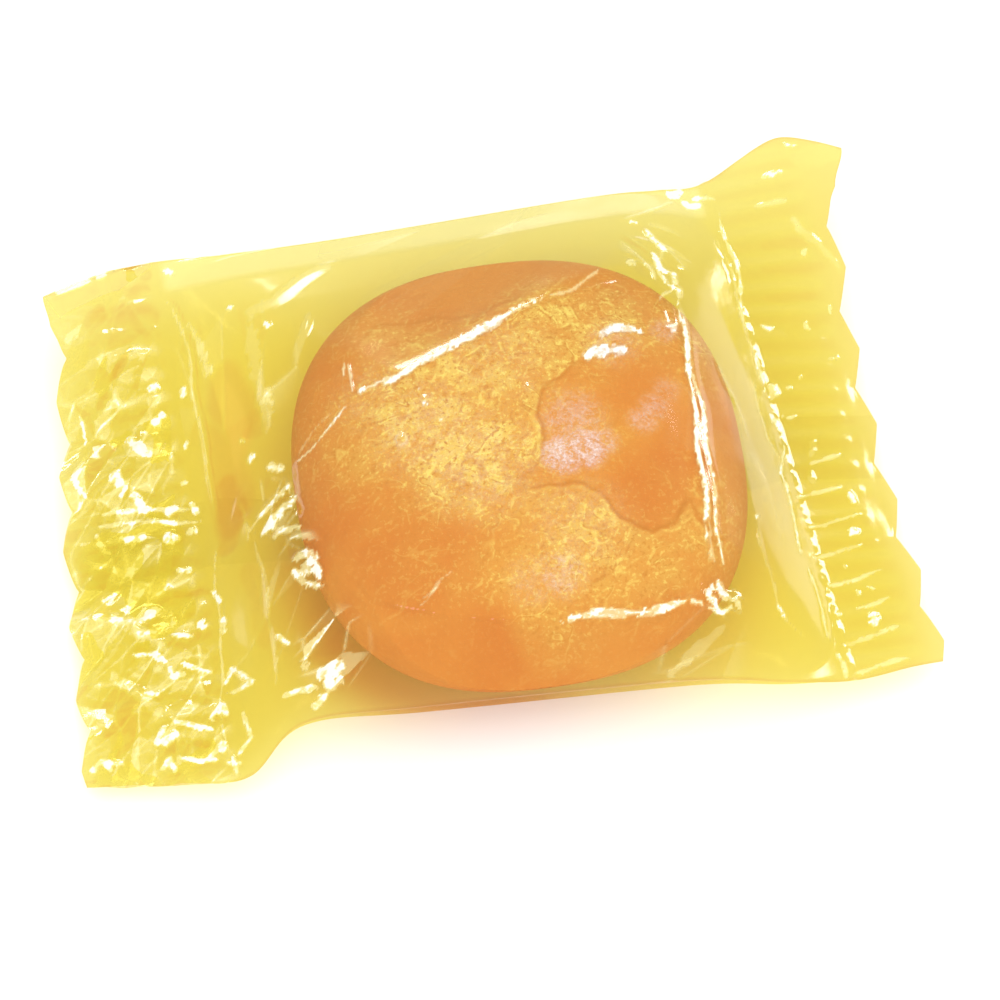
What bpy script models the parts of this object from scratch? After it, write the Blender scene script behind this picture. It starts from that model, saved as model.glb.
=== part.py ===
"""A butterscotch candy sealed in a clear film wrapper, as one closed solid.

The wrapper is a tube of film drawn round a pebble of hard candy and crimped flat at both ends.
Its film is far thinner than a solid can be, so the sealed bag and what it holds are one body.
+X runs along the tube, +Y points to the back, +Z is up. The origin is under the middle, on the
surface that the bag rests on.
"""

import bmesh
import bpy
import numpy as np

MM = 0.001

# The pebble of candy. It lies nearer to the right seal and to the front of the tube.
CANDY_CENTRE = np.array([2.1, -2.5]) * MM
CANDY_RADIUS = np.array([12.6, 12.8]) * MM
CANDY_THICKNESS = 9.2 * MM
CANDY_SQUARENESS = 2.6
CANDY_CROWN = 2.3
FILM_CLEARANCE = 0.15 * MM

# The rim where the upper film leaves the candy: corners as (x, y, height), in millimetres. Inside
# it the film lies on the candy, and outside it runs straight to the seals and the side edges.
RIM = np.array([
    (-10.4, -0.9, 5.9), (-10.5, -3.5, 6.0), (-9.1, -7.1, 6.9), (-7.0, -10.1, 7.1), (-3.2, -11.8, 7.4),
    (2.4, -12.8, 7.5), (9.8, -12.6, 7.4), (11.6, -12.2, 7.0), (11.7, -9.1, 7.9), (11.9, -4.3, 8.2),
    (12.1, 3.2, 7.9), (11.8, 5.3, 7.6), (9.6, 7.7, 7.6), (4.8, 5.9, 8.7), (0.4, 4.1, 9.1), (-3.8, 2.6, 8.9),
    (-6.5, 1.9, 8.3), (-8.5, 0.6, 7.3),
])
LIFT_RUN = 0.8 * MM

# Close to the back edge the film bends down more steeply: how wide that band is, and how high.
EDGE_BAND = 2.2 * MM
EDGE_SWELL = 0.3 * MM

# Below, the film leaves the candy at this share of its radius.
FOOT = 0.62

# The pack lies flat where its underside would reach lower than this many times its depth.
FOOT_FULLNESS = 1.12

# Sections of the tube from the left cut edge to the right one. Each is the place of its
# front and back edge, as (x, y, height), in millimetres.
SECTIONS = [
    # front edge           back edge
    ((-23.9, -15.8, 1.2), (-21.9, 12.8, 4.0)),   # left cut edge
    ((-19.2, -16.4, 1.3), (-19.3, 13.7, 3.9)),   # outer end of the left ribs
    ((-15.0, -16.8, 1.7), (-16.1, 14.2, 3.7)),   # left seal line
    ((-11.6, -14.7, 3.0), (-11.6, 13.9, 4.0)),   # left neck
    ((-5.0, -15.2, 4.0), (-5.0, 13.8, 4.2)),     # left shoulder
    ((9.0, -15.9, 4.0), (8.5, 14.1, 4.4)),       # right shoulder
    ((14.5, -16.5, 3.3), (12.6, 14.0, 4.3)),     # right neck
    ((18.2, -16.5, 2.2), (15.2, 14.0, 4.4)),     # right seal line
    ((21.6, -16.1, 2.0), (19.6, 15.9, 5.0)),     # outer end of the right ribs
    ((23.6, -16.0, 1.9), (22.2, 14.8, 4.8)),     # right cut edge
]
LEFT_CUT, LEFT_RIBS, LEFT_SEAL, LEFT_NECK = 0, 1, 2, 3
RIGHT_NECK, RIGHT_SEAL, RIGHT_RIBS, RIGHT_CUT = 6, 7, 8, 9

# How many rows of faces each stretch between two sections has, and how many run across.
STRETCH_ROWS = [5, 4, 4, 7, 14, 7, 5, 4, 3]
ROWS_ACROSS = 42

# The crimped ends.
FIN_THICKNESS = 0.5 * MM
RIB_HEIGHT = 0.18 * MM
SEAL_BEAD = 0.22 * MM
LEFT_SAG = 1.2 * MM
RIGHT_SAG = 1.6 * MM
LEFT_WAVE_HEIGHT = 0.45 * MM
LEFT_WAVES = 3.5

# The zigzag of each cut edge, and the corner at the back that is pulled out and turned up.
TOOTH_DEPTH = 0.75 * MM
LEFT_TOOTH_PITCH = 4.31 * MM
RIGHT_TOOTH_PITCH = 4.56 * MM
FIRST_TOOTH = -14.8 * MM
CORNER_START = 0.80
LEFT_TIP = 0.5 * MM
RIGHT_TIP = 1.0 * MM

# How far the middle of each cut edge bows out from a straight line.
LEFT_BOW = 0.3 * MM
RIGHT_BOW = -0.5 * MM

# The left end is crushed: the directions of its crumples in plan, their pitch and height.
CRUMPLES = [((0.80, 0.60), 3.4, 0.14), ((-0.50, 0.87), 2.6, 0.11), ((0.10, 0.99), 5.2, 0.16)]

# The lap seam runs along the underside from end to end.
SEAM_CENTRE = -2.4 * MM
SEAM_WIDTH = 3.8 * MM
SEAM_THICKNESS = 0.3 * MM

# Creases where the stretched film stands up in a crest: their route, crest and half-width.
CREASES = [
    ([(-10.4, -0.9), (-6.5, 1.9), (0.4, 4.1), (9.6, 7.7)], 0.20, 1.0),   # ridge across the candy
    ([(11.9, 3.2), (12.0, -4.3), (11.6, -12.2)], 0.20, 1.0),             # ridge down its right rim
    ([(11.6, -12.2), (2.4, -12.8)], 0.15, 1.0),                          # ridge along its front rim
    ([(10.9, 12.6), (12.1, 9.7), (11.8, 5.3)], 0.35, 1.0),               # up to the back edge
    ([(-14.6, -11.0), (-9.5, -9.6)], 0.35, 1.2),                         # tuck at the left neck
    ([(-14.0, 8.0), (-11.3, 6.4), (-11.2, 2.7)], 0.25, 1.0),             # soft fold at the left neck
    ([(15.8, 7.5), (12.0, 8.6)], 0.25, 1.0),                             # tuck at the right seal
]

FILM_COLOUR = (0.92, 0.68, 0.13, 1.0)
FILM_ROUGHNESS = 0.12


def rising(value, start, end):
    """Ease from 0 at start to 1 at end."""
    share = np.clip((value - start) / (end - start), 0.0, 1.0)
    return share * share * (3.0 - 2.0 * share)


def along_sections(values, station):
    """Run a smooth curve through one value per section, read at fractional sections."""
    values = np.asarray(values)
    first = np.clip(np.floor(station).astype(int), 0, len(values) - 2)
    before = values[np.maximum(first - 1, 0)]
    after = values[np.minimum(first + 2, len(values) - 1)]
    start, end = values[first], values[first + 1]
    share = (station - first).reshape((-1,) + (1,) * (values.ndim - 1))
    slope_in = (end - before) / 2.0
    slope_out = (after - start) / 2.0
    return (start * (1.0 + 2.0 * share) * (1.0 - share) ** 2 + end * share ** 2 * (3.0 - 2.0 * share)
            + slope_in * share * (1.0 - share) ** 2 - slope_out * share ** 2 * (1.0 - share))


def distance_to_route(x, y, route):
    """Find the distance in plan from each point to a polyline."""
    nearest = np.full_like(x, np.inf)
    for (ax, ay), (bx, by) in zip(route, route[1:]):
        run = np.array([bx - ax, by - ay])
        share = np.clip(((x - ax) * run[0] + (y - ay) * run[1]) / run.dot(run), 0.0, 1.0)
        nearest = np.minimum(nearest, np.hypot(x - ax - share * run[0], y - ay - share * run[1]))
    return nearest


def plan_of_tube(station, across):
    """Place each point in plan, and give the height of the tube's middle there."""
    rails = along_sections(np.array(SECTIONS) * MM, station)
    front, back = rails[:, 0], rails[:, 1]
    in_tube = tube_share(station)
    rounded = np.sin(across * np.pi / 2.0)
    place = (1.0 + across + (rounded - across) * in_tube) / 2.0
    x = front[:, 0] + (back[:, 0] - front[:, 0]) * place
    y = front[:, 1] + (back[:, 1] - front[:, 1]) * place
    edge_height = front[:, 2] + (back[:, 2] - front[:, 2]) * place
    return x, y, edge_height, front[:, 1], back[:, 1]


def tube_share(station):
    """Give 0 in the crimped ends and 1 in the open tube."""
    return rising(station, LEFT_SEAL, LEFT_NECK) * rising(-station, -RIGHT_SEAL, -RIGHT_NECK)


def candy_spread(x, y):
    """Measure how far out a point is in plan, where 1 is the candy's own outline."""
    offset_x = np.abs(x - CANDY_CENTRE[0]) / CANDY_RADIUS[0]
    offset_y = np.abs(y - CANDY_CENTRE[1]) / CANDY_RADIUS[1]
    spread = (offset_x ** CANDY_SQUARENESS + offset_y ** CANDY_SQUARENESS) ** (1.0 / CANDY_SQUARENESS)
    return np.maximum(spread, 1e-6)


def frame_reach(x, y, front, back):
    """Measure each point from the candy's centre, where 1 is a seal line or the tube's side edge."""
    left_seal, right_seal = np.array(SECTIONS[LEFT_SEAL]) * MM, np.array(SECTIONS[RIGHT_SEAL]) * MM
    left_x = np.interp(y, left_seal[:, 1], left_seal[:, 0])
    right_x = np.interp(y, right_seal[:, 1], right_seal[:, 0])
    offset_x = x - CANDY_CENTRE[0]
    offset_y = y - CANDY_CENTRE[1]
    towards_seal = np.abs(offset_x / (np.where(offset_x < 0.0, left_x, right_x) - CANDY_CENTRE[0]))
    towards_side = np.abs(offset_y / (np.where(offset_y < 0.0, front, back) - CANDY_CENTRE[1]))
    return towards_seal, towards_side


def crown(spread):
    """Give the candy's height over its middle, as a share of its half thickness."""
    return (1.0 - np.clip(spread, 0.0, 1.0) ** CANDY_CROWN) ** (1.0 / CANDY_CROWN)


def film_under_candy(x, y, front, back):
    """Give how far the lower film drops from the tube's middle, as a share of that height."""
    spread = candy_spread(x, y)
    towards_seal, towards_side = frame_reach(x, y, front, back)
    reach = np.maximum(np.maximum(towards_seal, towards_side), 1e-6)
    sideways = towards_side ** 6 / (towards_side ** 6 + towards_seal ** 6 + 1e-9)
    slack = np.maximum(spread / reach - FOOT, 0.05)
    gone = np.clip((spread - FOOT) / slack, 0.0, 1.0)
    fullness = 1.15 + 0.95 * sideways
    drop = crown(np.minimum(spread, FOOT)) * (1.0 - gone ** fullness) ** (1.0 / fullness)
    return np.minimum(FOOT_FULLNESS * drop, 1.0)


def rim_towards(x, y):
    """Find the rim in each point's direction from the candy's centre: how far out, how high, where."""
    corners = RIM[:, :2] * MM - CANDY_CENTRE
    heights = RIM[:, 2] * MM
    corner_turn = np.arctan2(corners[:, 1], corners[:, 0])
    order = np.argsort(corner_turn)
    ends = np.concatenate([order[-1:], order, order[:1]])
    turns = np.concatenate([corner_turn[order[-1:]] - 2.0 * np.pi, corner_turn[order],
                            corner_turn[order[:1]] + 2.0 * np.pi])
    turn = np.arctan2(y - CANDY_CENTRE[1], x - CANDY_CENTRE[0])
    edge = np.clip(np.searchsorted(turns, turn) - 1, 0, len(turns) - 2)
    start, end = corners[ends[edge]], corners[ends[edge + 1]]
    way = np.stack([np.cos(turn), np.sin(turn)], axis=1)
    run = end - start
    turned = way[:, 0] * run[:, 1] - way[:, 1] * run[:, 0]
    out = (start[:, 0] * run[:, 1] - start[:, 1] * run[:, 0]) / turned
    share = (start[:, 0] * way[:, 1] - start[:, 1] * way[:, 0]) / turned
    height = heights[ends[edge]] * (1.0 - share) + heights[ends[edge + 1]] * share
    return out, height, CANDY_CENTRE + way * out[:, None]


def film_over_candy(x, y, front, back, ground):
    """Give the upper film's height: over the candy, and straight from the rim to the frame."""
    rim_out, rim_height, rim_place = rim_towards(x, y)
    out = np.maximum(np.hypot(x - CANDY_CENTRE[0], y - CANDY_CENTRE[1]), 1e-9)
    towards_seal, towards_side = frame_reach(x, y, front, back)
    reach = np.maximum(np.maximum(towards_seal, towards_side), 1e-6)
    gone = np.clip((out - rim_out) / np.maximum(out / reach - rim_out, 0.05 * MM), 0.0, 1.0)
    plane = ground + (rim_height - ground) * (1.0 - gone)
    band = np.clip(1.0 - np.abs((back - y) / EDGE_BAND - 1.0), 0.0, 1.0)
    plane = plane + EDGE_SWELL * band * (1.0 - rising(towards_seal, 0.75, 0.95))
    half = CANDY_THICKNESS / 2.0
    candy = half + half * crown(candy_spread(x, y)) + FILM_CLEARANCE
    candy_at_rim = half + half * crown(candy_spread(*rim_place.T)) + FILM_CLEARANCE
    lift = (rim_height - candy_at_rim) * np.exp(-np.abs(rim_out - out) / LIFT_RUN)
    return np.where(out < rim_out, candy + lift, plane)


def crimp(station, across):
    """Give the relief of the ribs that run along the tube in both crimped ends."""
    left_zone = rising(station, LEFT_RIBS - 0.3, LEFT_RIBS) * rising(-station, -LEFT_SEAL, 0.25 - LEFT_SEAL)
    right_zone = (rising(station, RIGHT_SEAL, RIGHT_SEAL + 0.25)
                  * rising(-station, -0.3 - RIGHT_RIBS, -RIGHT_RIBS))
    rib = np.cos(np.pi * ROWS_ACROSS * (across + 1.0) / 2.0)
    return RIB_HEIGHT * rib * (left_zone + right_zone)


def fin_sag(station, across):
    """Let the crimped ends hang in their middle, and let the left one wave."""
    left = 1.0 - rising(station, LEFT_CUT, LEFT_SEAL + 0.5)
    right = rising(station, RIGHT_SEAL - 0.5, RIGHT_RIBS + 0.5)
    held_down = rising(across, -1.0, -0.3) * (1.0 - rising(across, 0.3, CORNER_START))
    wave = LEFT_WAVE_HEIGHT * left * np.sin(np.pi * LEFT_WAVES * across)
    return (wave - LEFT_SAG * left - RIGHT_SAG * right) * held_down


def crumpled(x, y, station):
    """Crumple the left end with a few waves that cross each other."""
    height = np.zeros_like(x)
    for (run_x, run_y), pitch, crest in CRUMPLES:
        height = height + crest * MM * np.sin(2.0 * np.pi * (run_x * x + run_y * y) / (pitch * MM))
    return height * (1.0 - rising(station, LEFT_RIBS, LEFT_SEAL))


def toothed(x, y, station, across):
    """Bow both cut edges, cut them in a zigzag, and pull out their back corners."""
    left = 1.0 - rising(station, LEFT_CUT, LEFT_CUT + 0.9)
    right = rising(station, RIGHT_CUT - 0.9, RIGHT_CUT)
    ends = ((-left, LEFT_TOOTH_PITCH, LEFT_TIP, LEFT_BOW), (right, RIGHT_TOOTH_PITCH, RIGHT_TIP, RIGHT_BOW))
    corner = rising(across, CORNER_START, 1.0)
    for outward, pitch, tip, bow in ends:
        phase = (y - FIRST_TOOTH) / pitch
        notch = 2.0 * np.abs(phase - np.round(phase)) * TOOTH_DEPTH
        x = x + outward * (tip * corner - notch * (1.0 - corner) + bow * (1.0 - across ** 2) ** 2)
    return x


def shape_wrapper(station, across, is_top):
    """Turn the flat blank's points into the wrapper's, as x, y and z."""
    x, y, middle, front, back = plan_of_tube(station, across)
    half_fin = FIN_THICKNESS / 2.0
    in_tube = tube_share(station)

    hanging = middle + fin_sag(station, across)
    fin_middle = hanging + crimp(station, across) + crumpled(x, y, station)
    between_seals = (station > LEFT_SEAL) & (station < RIGHT_SEAL)
    over = film_over_candy(x, y, front, back, hanging + half_fin)
    top = np.where(between_seals, over, fin_middle + half_fin)
    under = (middle - half_fin) * (1.0 - film_under_candy(x, y, front, back))
    bottom = fin_middle - half_fin + (under - fin_middle + half_fin) * in_tube

    for route, crest, half_width in CREASES:
        away = distance_to_route(x, y, np.array(route) * MM) / (half_width * MM)
        top = top + crest * MM * np.maximum(0.0, 1.0 - away) * in_tube

    bead = SEAL_BEAD * (np.maximum(0.0, 1.0 - np.abs(station - LEFT_SEAL) * 4.0)
                        + np.maximum(0.0, 1.0 - np.abs(station - RIGHT_SEAL) * 4.0))
    seam = SEAM_THICKNESS * (np.abs(y - SEAM_CENTRE) < SEAM_WIDTH / 2.0)
    bottom = np.maximum(bottom - seam - bead, 0.0)
    top = np.maximum(top + bead, bottom + FIN_THICKNESS)
    x = toothed(x, y, station, across)
    return x, y, np.where(is_top, top, bottom)


def flat_blank():
    """Make a flat slab, one layer of faces above and one below, joined round the edge."""
    blank = bmesh.new()
    bmesh.ops.create_grid(blank, x_segments=sum(STRETCH_ROWS), y_segments=ROWS_ACROSS, size=1.0)
    lifted = bmesh.ops.extrude_face_region(blank, geom=blank.faces[:])
    upper = [item for item in lifted["geom"] if isinstance(item, bmesh.types.BMVert)]
    bmesh.ops.translate(blank, verts=upper, vec=(0.0, 0.0, 1.0))
    bmesh.ops.recalc_face_normals(blank, faces=blank.faces[:])
    return blank


def build_wrapper():
    """Shape the blank into the sealed wrapper and centre it over the origin."""
    blank = flat_blank()
    points = np.array([vert.co for vert in blank.verts])
    rows = np.concatenate([[0], np.cumsum(STRETCH_ROWS)])
    row = (points[:, 0] + 1.0) / 2.0 * rows[-1]
    station = np.interp(row, rows, np.arange(len(SECTIONS)))
    x, y, z = shape_wrapper(station, points[:, 1], points[:, 2] > 0.5)
    x = x - (x.min() + x.max()) / 2.0
    y = y - (y.min() + y.max()) / 2.0
    z = z - z.min()
    for vert, place in zip(blank.verts, zip(x, y, z)):
        vert.co = place
    mesh = bpy.data.meshes.new("sealed_wrapper")
    blank.to_mesh(mesh)
    blank.free()
    mesh.shade_smooth()
    mesh.set_sharp_from_angle(angle=np.radians(35.0))
    mesh.materials.append(film_material())
    wrapper = bpy.data.objects.new("sealed_wrapper", mesh)
    bpy.context.collection.objects.link(wrapper)
    return wrapper


def film_material():
    """Make the yellow of the glossy film."""
    material = bpy.data.materials.new("yellow_film")
    material.use_nodes = True
    shader = material.node_tree.nodes["Principled BSDF"]
    shader.inputs["Base Color"].default_value = FILM_COLOUR
    shader.inputs["Roughness"].default_value = FILM_ROUGHNESS
    shader.inputs["Metallic"].default_value = 0.0
    return material


for old in list(bpy.data.objects):
    bpy.data.objects.remove(old, do_unlink=True)
build_wrapper()
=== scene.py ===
# %% [markdown]
# # A butterscotch candy in clear film
#
# The object is a pebble of boiled sugar, shut in a tube of thin yellow film. The film is crimped
# flat at both ends, and its creases catch the light in crisp white lines.
#
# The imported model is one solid: the outside of the shut bag. This script keeps that form and
# puts the real things in its place, which are two sheets of film, the lap seam under them, and
# the candy between them. Lengths are in millimetres until a mesh is written.

import bpy
import numpy as np
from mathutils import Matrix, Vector
from mathutils.geometry import delaunay_2d_cdt


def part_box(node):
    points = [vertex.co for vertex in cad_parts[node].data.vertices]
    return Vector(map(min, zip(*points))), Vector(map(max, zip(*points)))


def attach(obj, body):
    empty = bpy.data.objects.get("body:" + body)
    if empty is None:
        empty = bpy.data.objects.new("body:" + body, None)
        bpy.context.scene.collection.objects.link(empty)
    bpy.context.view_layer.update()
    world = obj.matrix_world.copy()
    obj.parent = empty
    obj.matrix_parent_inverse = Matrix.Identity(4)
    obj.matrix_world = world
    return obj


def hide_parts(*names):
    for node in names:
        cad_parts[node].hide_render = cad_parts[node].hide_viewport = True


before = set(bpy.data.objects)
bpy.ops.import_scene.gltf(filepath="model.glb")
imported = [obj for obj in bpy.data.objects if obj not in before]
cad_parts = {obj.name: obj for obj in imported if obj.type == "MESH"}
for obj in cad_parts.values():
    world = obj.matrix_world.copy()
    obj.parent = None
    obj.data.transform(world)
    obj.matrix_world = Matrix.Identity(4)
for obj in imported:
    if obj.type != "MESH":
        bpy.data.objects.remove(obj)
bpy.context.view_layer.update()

MM = 0.001
BAG = "sealed_wrapper"
bag_low, bag_high = (np.array(corner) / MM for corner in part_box(BAG))
print("The bag measures", (bag_high - bag_low).round(1), "mm")


# %% [markdown]
# ## The pebble's form
#
# A boiled sweet of this kind is pressed between rollers. Seen from above it is a square with
# very round corners, and from the side it is a flattened pebble. One formula gives both: a
# superellipse in plan, and a crown over it. The film needs the same formula, because it lies
# on the candy, so it comes first, as a function that any piece can ask for a height.

# %% The candy's outline and crown
CANDY_CENTRE = np.array([2.2, -1.95])
CANDY_RADIUS = np.array([12.3, 12.7])
CANDY_SQUARENESS = 2.45
CANDY_CROWN = 2.3
CANDY_BOTTOM = 0.10
CANDY_TOP = 9.15
CANDY_MIDDLE = (CANDY_BOTTOM + CANDY_TOP) / 2.0
CANDY_HALF = (CANDY_TOP - CANDY_BOTTOM) / 2.0


def candy_spread(x, y):
    """Measure how far out a point is in plan, where 1 is the candy's outline."""
    out_x = (np.abs(x - CANDY_CENTRE[0]) / CANDY_RADIUS[0]) ** CANDY_SQUARENESS
    out_y = (np.abs(y - CANDY_CENTRE[1]) / CANDY_RADIUS[1]) ** CANDY_SQUARENESS
    return np.maximum((out_x + out_y) ** (1.0 / CANDY_SQUARENESS), 1e-6)


def crown(spread):
    """Give the candy's height over its middle, as a share of its half thickness."""
    return (1.0 - np.clip(spread, 0.0, 1.0) ** CANDY_CROWN) ** (1.0 / CANDY_CROWN)


print("The candy is", 2.0 * CANDY_RADIUS, "mm across and", round(2.0 * CANDY_HALF, 2), "mm thick")

# %% [markdown]
# ## The film's plan
#
# A wrapper like this starts as a flat strip, is folded round the candy into a tube, and is
# crimped flat at both ends. So it is laid out here in the tube's own terms: `station` counts
# the sections from the left cut edge to the right one, and `across` goes from -1 at the front
# edge to 1 at the back edge. Every section says where its two edges are, and a smooth curve
# through the sections gives the outline.

# %% Sections of the tube
SECTIONS = np.array([
    # front edge: x, y, height     back edge: x, y, height
    ((-23.74, -15.31, 1.2), (-21.74, 13.29, 4.0)),   # left cut edge
    ((-19.04, -15.91, 1.3), (-19.14, 14.19, 3.9)),   # outer end of the left ribs
    ((-14.84, -16.31, 1.7), (-15.94, 14.69, 3.7)),   # left seal line
    ((-11.44, -14.21, 3.0), (-11.44, 14.39, 4.0)),   # left neck
    ((-4.84, -14.71, 4.0), (-4.84, 14.29, 4.2)),     # left shoulder
    ((9.16, -15.41, 4.0), (8.66, 14.59, 4.4)),       # right shoulder
    ((14.66, -16.01, 3.3), (12.76, 14.49, 4.3)),     # right neck
    ((18.36, -16.01, 2.2), (15.36, 14.49, 4.4)),     # right seal line
    ((21.76, -15.61, 2.0), (19.76, 16.39, 5.0)),     # outer end of the right ribs
    ((23.76, -15.51, 1.9), (22.36, 15.29, 4.8)),     # right cut edge
])
LEFT_CUT, LEFT_RIBS, LEFT_SEAL, LEFT_NECK = 0, 1, 2, 3
RIGHT_NECK, RIGHT_SEAL, RIGHT_RIBS, RIGHT_CUT = 6, 7, 8, 9


def rising(value, start, end):
    """Ease from 0 at start to 1 at end."""
    share = np.clip((value - start) / (end - start), 0.0, 1.0)
    return share * share * (3.0 - 2.0 * share)


def along_sections(station):
    """Run a smooth curve through the sections and read it at fractional stations."""
    first = np.clip(np.floor(station).astype(int), 0, len(SECTIONS) - 2)
    before = SECTIONS[np.maximum(first - 1, 0)]
    after = SECTIONS[np.minimum(first + 2, len(SECTIONS) - 1)]
    start, end = SECTIONS[first], SECTIONS[first + 1]
    share = (station - first)[:, None, None]
    slope_in, slope_out = (end - before) / 2.0, (after - start) / 2.0
    return (start * (1.0 + 2.0 * share) * (1.0 - share) ** 2
            + end * share ** 2 * (3.0 - 2.0 * share)
            + slope_in * share * (1.0 - share) ** 2 - slope_out * share ** 2 * (1.0 - share))


def tube_share(station):
    """Give 0 in the crimped ends and 1 in the open tube."""
    return rising(station, LEFT_SEAL, LEFT_NECK) * rising(-station, -RIGHT_SEAL, -RIGHT_NECK)


def frame_reach(x, y, front, back):
    """Measure each point from the candy's centre, where 1 is the tube's edge or a seal line."""
    seals = SECTIONS[[LEFT_SEAL, RIGHT_SEAL]]
    left_x = np.interp(y, seals[0, :, 1], seals[0, :, 0])
    right_x = np.interp(y, seals[1, :, 1], seals[1, :, 0])
    off_x, off_y = x - CANDY_CENTRE[0], y - CANDY_CENTRE[1]
    towards_seal = np.abs(off_x / (np.where(off_x < 0.0, left_x, right_x) - CANDY_CENTRE[0]))
    towards_side = np.abs(off_y / (np.where(off_y < 0.0, front, back) - CANDY_CENTRE[1]))
    return towards_seal, towards_side


print("The sections run from", SECTIONS[0, :, 0].min(), "to", SECTIONS[-1, :, 0].max(), "mm")

# %% [markdown]
# ## The tent over the candy
#
# Film under tension doesn't follow a soft slope. It clings to the top of the candy in one
# patch, leaves it along folded ridges, and then runs straight to the seals and the side edges
# in almost flat planes. This is why the wrapper shows long plain areas with a few very bright
# lines. A cloth simulation would round all of this off, so the ridges are given as a rim of
# corner points, and each plane is drawn as straight lines from the rim out to the frame.

# %% The rim where the film leaves the candy
RIM = np.array([
    # x, y, height, width of the folded strip outside it, how steeply the strip falls
    (-10.2, -0.4, 5.9, 0.10, 0.26), (-10.3, -3.0, 6.0, 0.00, 0.26), (-8.9, -6.6, 6.9, 0.00, 0.26),
    (-6.8, -9.6, 7.1, 0.00, 0.50), (-3.0, -11.3, 7.70, 0.00, 0.78), (1.6, -12.4, 7.62, 0.02, 0.78),
    (2.6, -12.35, 7.64, 0.34, 0.78), (7.1, -12.2, 7.4, 0.30, 0.78), (10.0, -12.1, 7.3, 0.34, 0.78),
    (11.5, -11.8, 7.0, 0.25, 0.60), (11.6, -8.6, 7.9, 0.45, 0.53), (11.8, -3.8, 8.15, 0.40, 0.53),
    (12.0, 3.7, 7.8, 0.22, 0.53), (11.9, 5.8, 7.5, 0.10, 0.40), (9.8, 8.2, 7.5, 0.10, 0.26),
    (8.3, 7.8, 7.85, 0.30, 0.26), (5.0, 6.4, 8.55, 0.50, 0.26), (0.6, 4.6, 8.90, 0.60, 0.26),
    (-3.6, 3.1, 8.75, 0.32, 0.26), (-6.3, 2.4, 8.15, 0.12, 0.26), (-8.3, 1.1, 7.30, 0.12, 0.26),
])
FILM_GAP = 0.06
LIFT_RUN = 0.45
EDGE_BAND, EDGE_SWELL = 2.2, 0.20
SWELL_ENDS = (0.75, 0.95)
HIP_POWER = 8.0
SHORTEST_PLANE = 0.05


def rim_towards(x, y):
    """Find the rim in each point's direction: how far out, its numbers, how square, its place."""
    corners = RIM[:, :2] - CANDY_CENTRE
    corner_turn = np.arctan2(corners[:, 1], corners[:, 0])
    order = np.argsort(corner_turn)
    ends = np.concatenate([order[-1:], order, order[:1]])
    turns = np.concatenate([corner_turn[order[-1:]] - 2.0 * np.pi, corner_turn[order],
                            corner_turn[order[:1]] + 2.0 * np.pi])
    turn = np.arctan2(y - CANDY_CENTRE[1], x - CANDY_CENTRE[0])
    edge = np.clip(np.searchsorted(turns, turn) - 1, 0, len(turns) - 2)
    start, end = corners[ends[edge]], corners[ends[edge + 1]]
    way = np.stack([np.cos(turn), np.sin(turn)], axis=1)
    run = end - start
    turned = way[:, 0] * run[:, 1] - way[:, 1] * run[:, 0]
    out = (start[:, 0] * run[:, 1] - start[:, 1] * run[:, 0]) / turned
    share = ((start[:, 0] * way[:, 1] - start[:, 1] * way[:, 0]) / turned)[:, None]
    numbers = RIM[ends[edge], 2:] * (1.0 - share) + RIM[ends[edge + 1], 2:] * share
    squareness = np.abs(turned) / np.hypot(run[:, 0], run[:, 1])
    return out, numbers, squareness, CANDY_CENTRE + way * out[:, None]


def tent(x, y, front, back, ground):
    """Give the height of the film over the candy and out to the tube's edges."""
    rim_out, numbers, squareness, rim_place = rim_towards(x, y)
    rim_height, strip, fall = numbers.T
    out = np.maximum(np.hypot(x - CANDY_CENTRE[0], y - CANDY_CENTRE[1]), 1e-6)
    towards_seal, towards_side = frame_reach(x, y, front, back)
    reach = (towards_seal ** HIP_POWER + towards_side ** HIP_POWER + 1e-9) ** (1.0 / HIP_POWER)
    plane_start = rim_out + strip / squareness
    plane_run = np.maximum(out / reach - plane_start, SHORTEST_PLANE)
    gone = np.clip((out - plane_start) / plane_run, 0.0, 1.0)
    plane = ground + (rim_height - strip * fall - ground) * (1.0 - gone)
    band = np.clip(1.0 - np.abs((back - y) / EDGE_BAND - 1.0), 0.0, 1.0)
    plane = plane + EDGE_SWELL * band * (1.0 - rising(towards_seal, *SWELL_ENDS))
    folded = rim_height - (out - rim_out) * squareness * fall
    candy = CANDY_MIDDLE + CANDY_HALF * crown(candy_spread(x, y)) + FILM_GAP
    candy_at_rim = CANDY_MIDDLE + CANDY_HALF * crown(candy_spread(*rim_place.T)) + FILM_GAP
    lift = (rim_height - candy_at_rim) * np.exp(-np.abs(rim_out - out) / LIFT_RUN)
    return np.where(out < rim_out, candy + lift, np.where(out < plane_start, folded, plane))


print("The rim has", len(RIM), "corners")

# %% The film under the candy
FOOT = 0.62
FOOT_FULLNESS = 1.12
END_FULLNESS, MORE_AT_SIDES = 1.15, 0.95
CORNER_POWER = 6
LEAST_SLACK = 0.05


def sag_below(x, y, front, back):
    """Give how far the lower sheet drops from the tube's edge, where 1 is the floor."""
    towards_seal, towards_side = frame_reach(x, y, front, back)
    reach = np.maximum(np.maximum(towards_seal, towards_side), 1e-6)
    side, seal = towards_side ** CORNER_POWER, towards_seal ** CORNER_POWER
    sideways = side / (side + seal + 1e-9)
    spread = candy_spread(x, y)
    slack = np.maximum(spread / reach - FOOT, LEAST_SLACK)
    gone = np.clip((spread - FOOT) / slack, 0.0, 1.0)
    fullness = END_FULLNESS + MORE_AT_SIDES * sideways
    drop = crown(np.minimum(spread, FOOT)) * (1.0 - gone ** fullness) ** (1.0 / fullness)
    return np.minimum(FOOT_FULLNESS * drop, 1.0)


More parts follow.
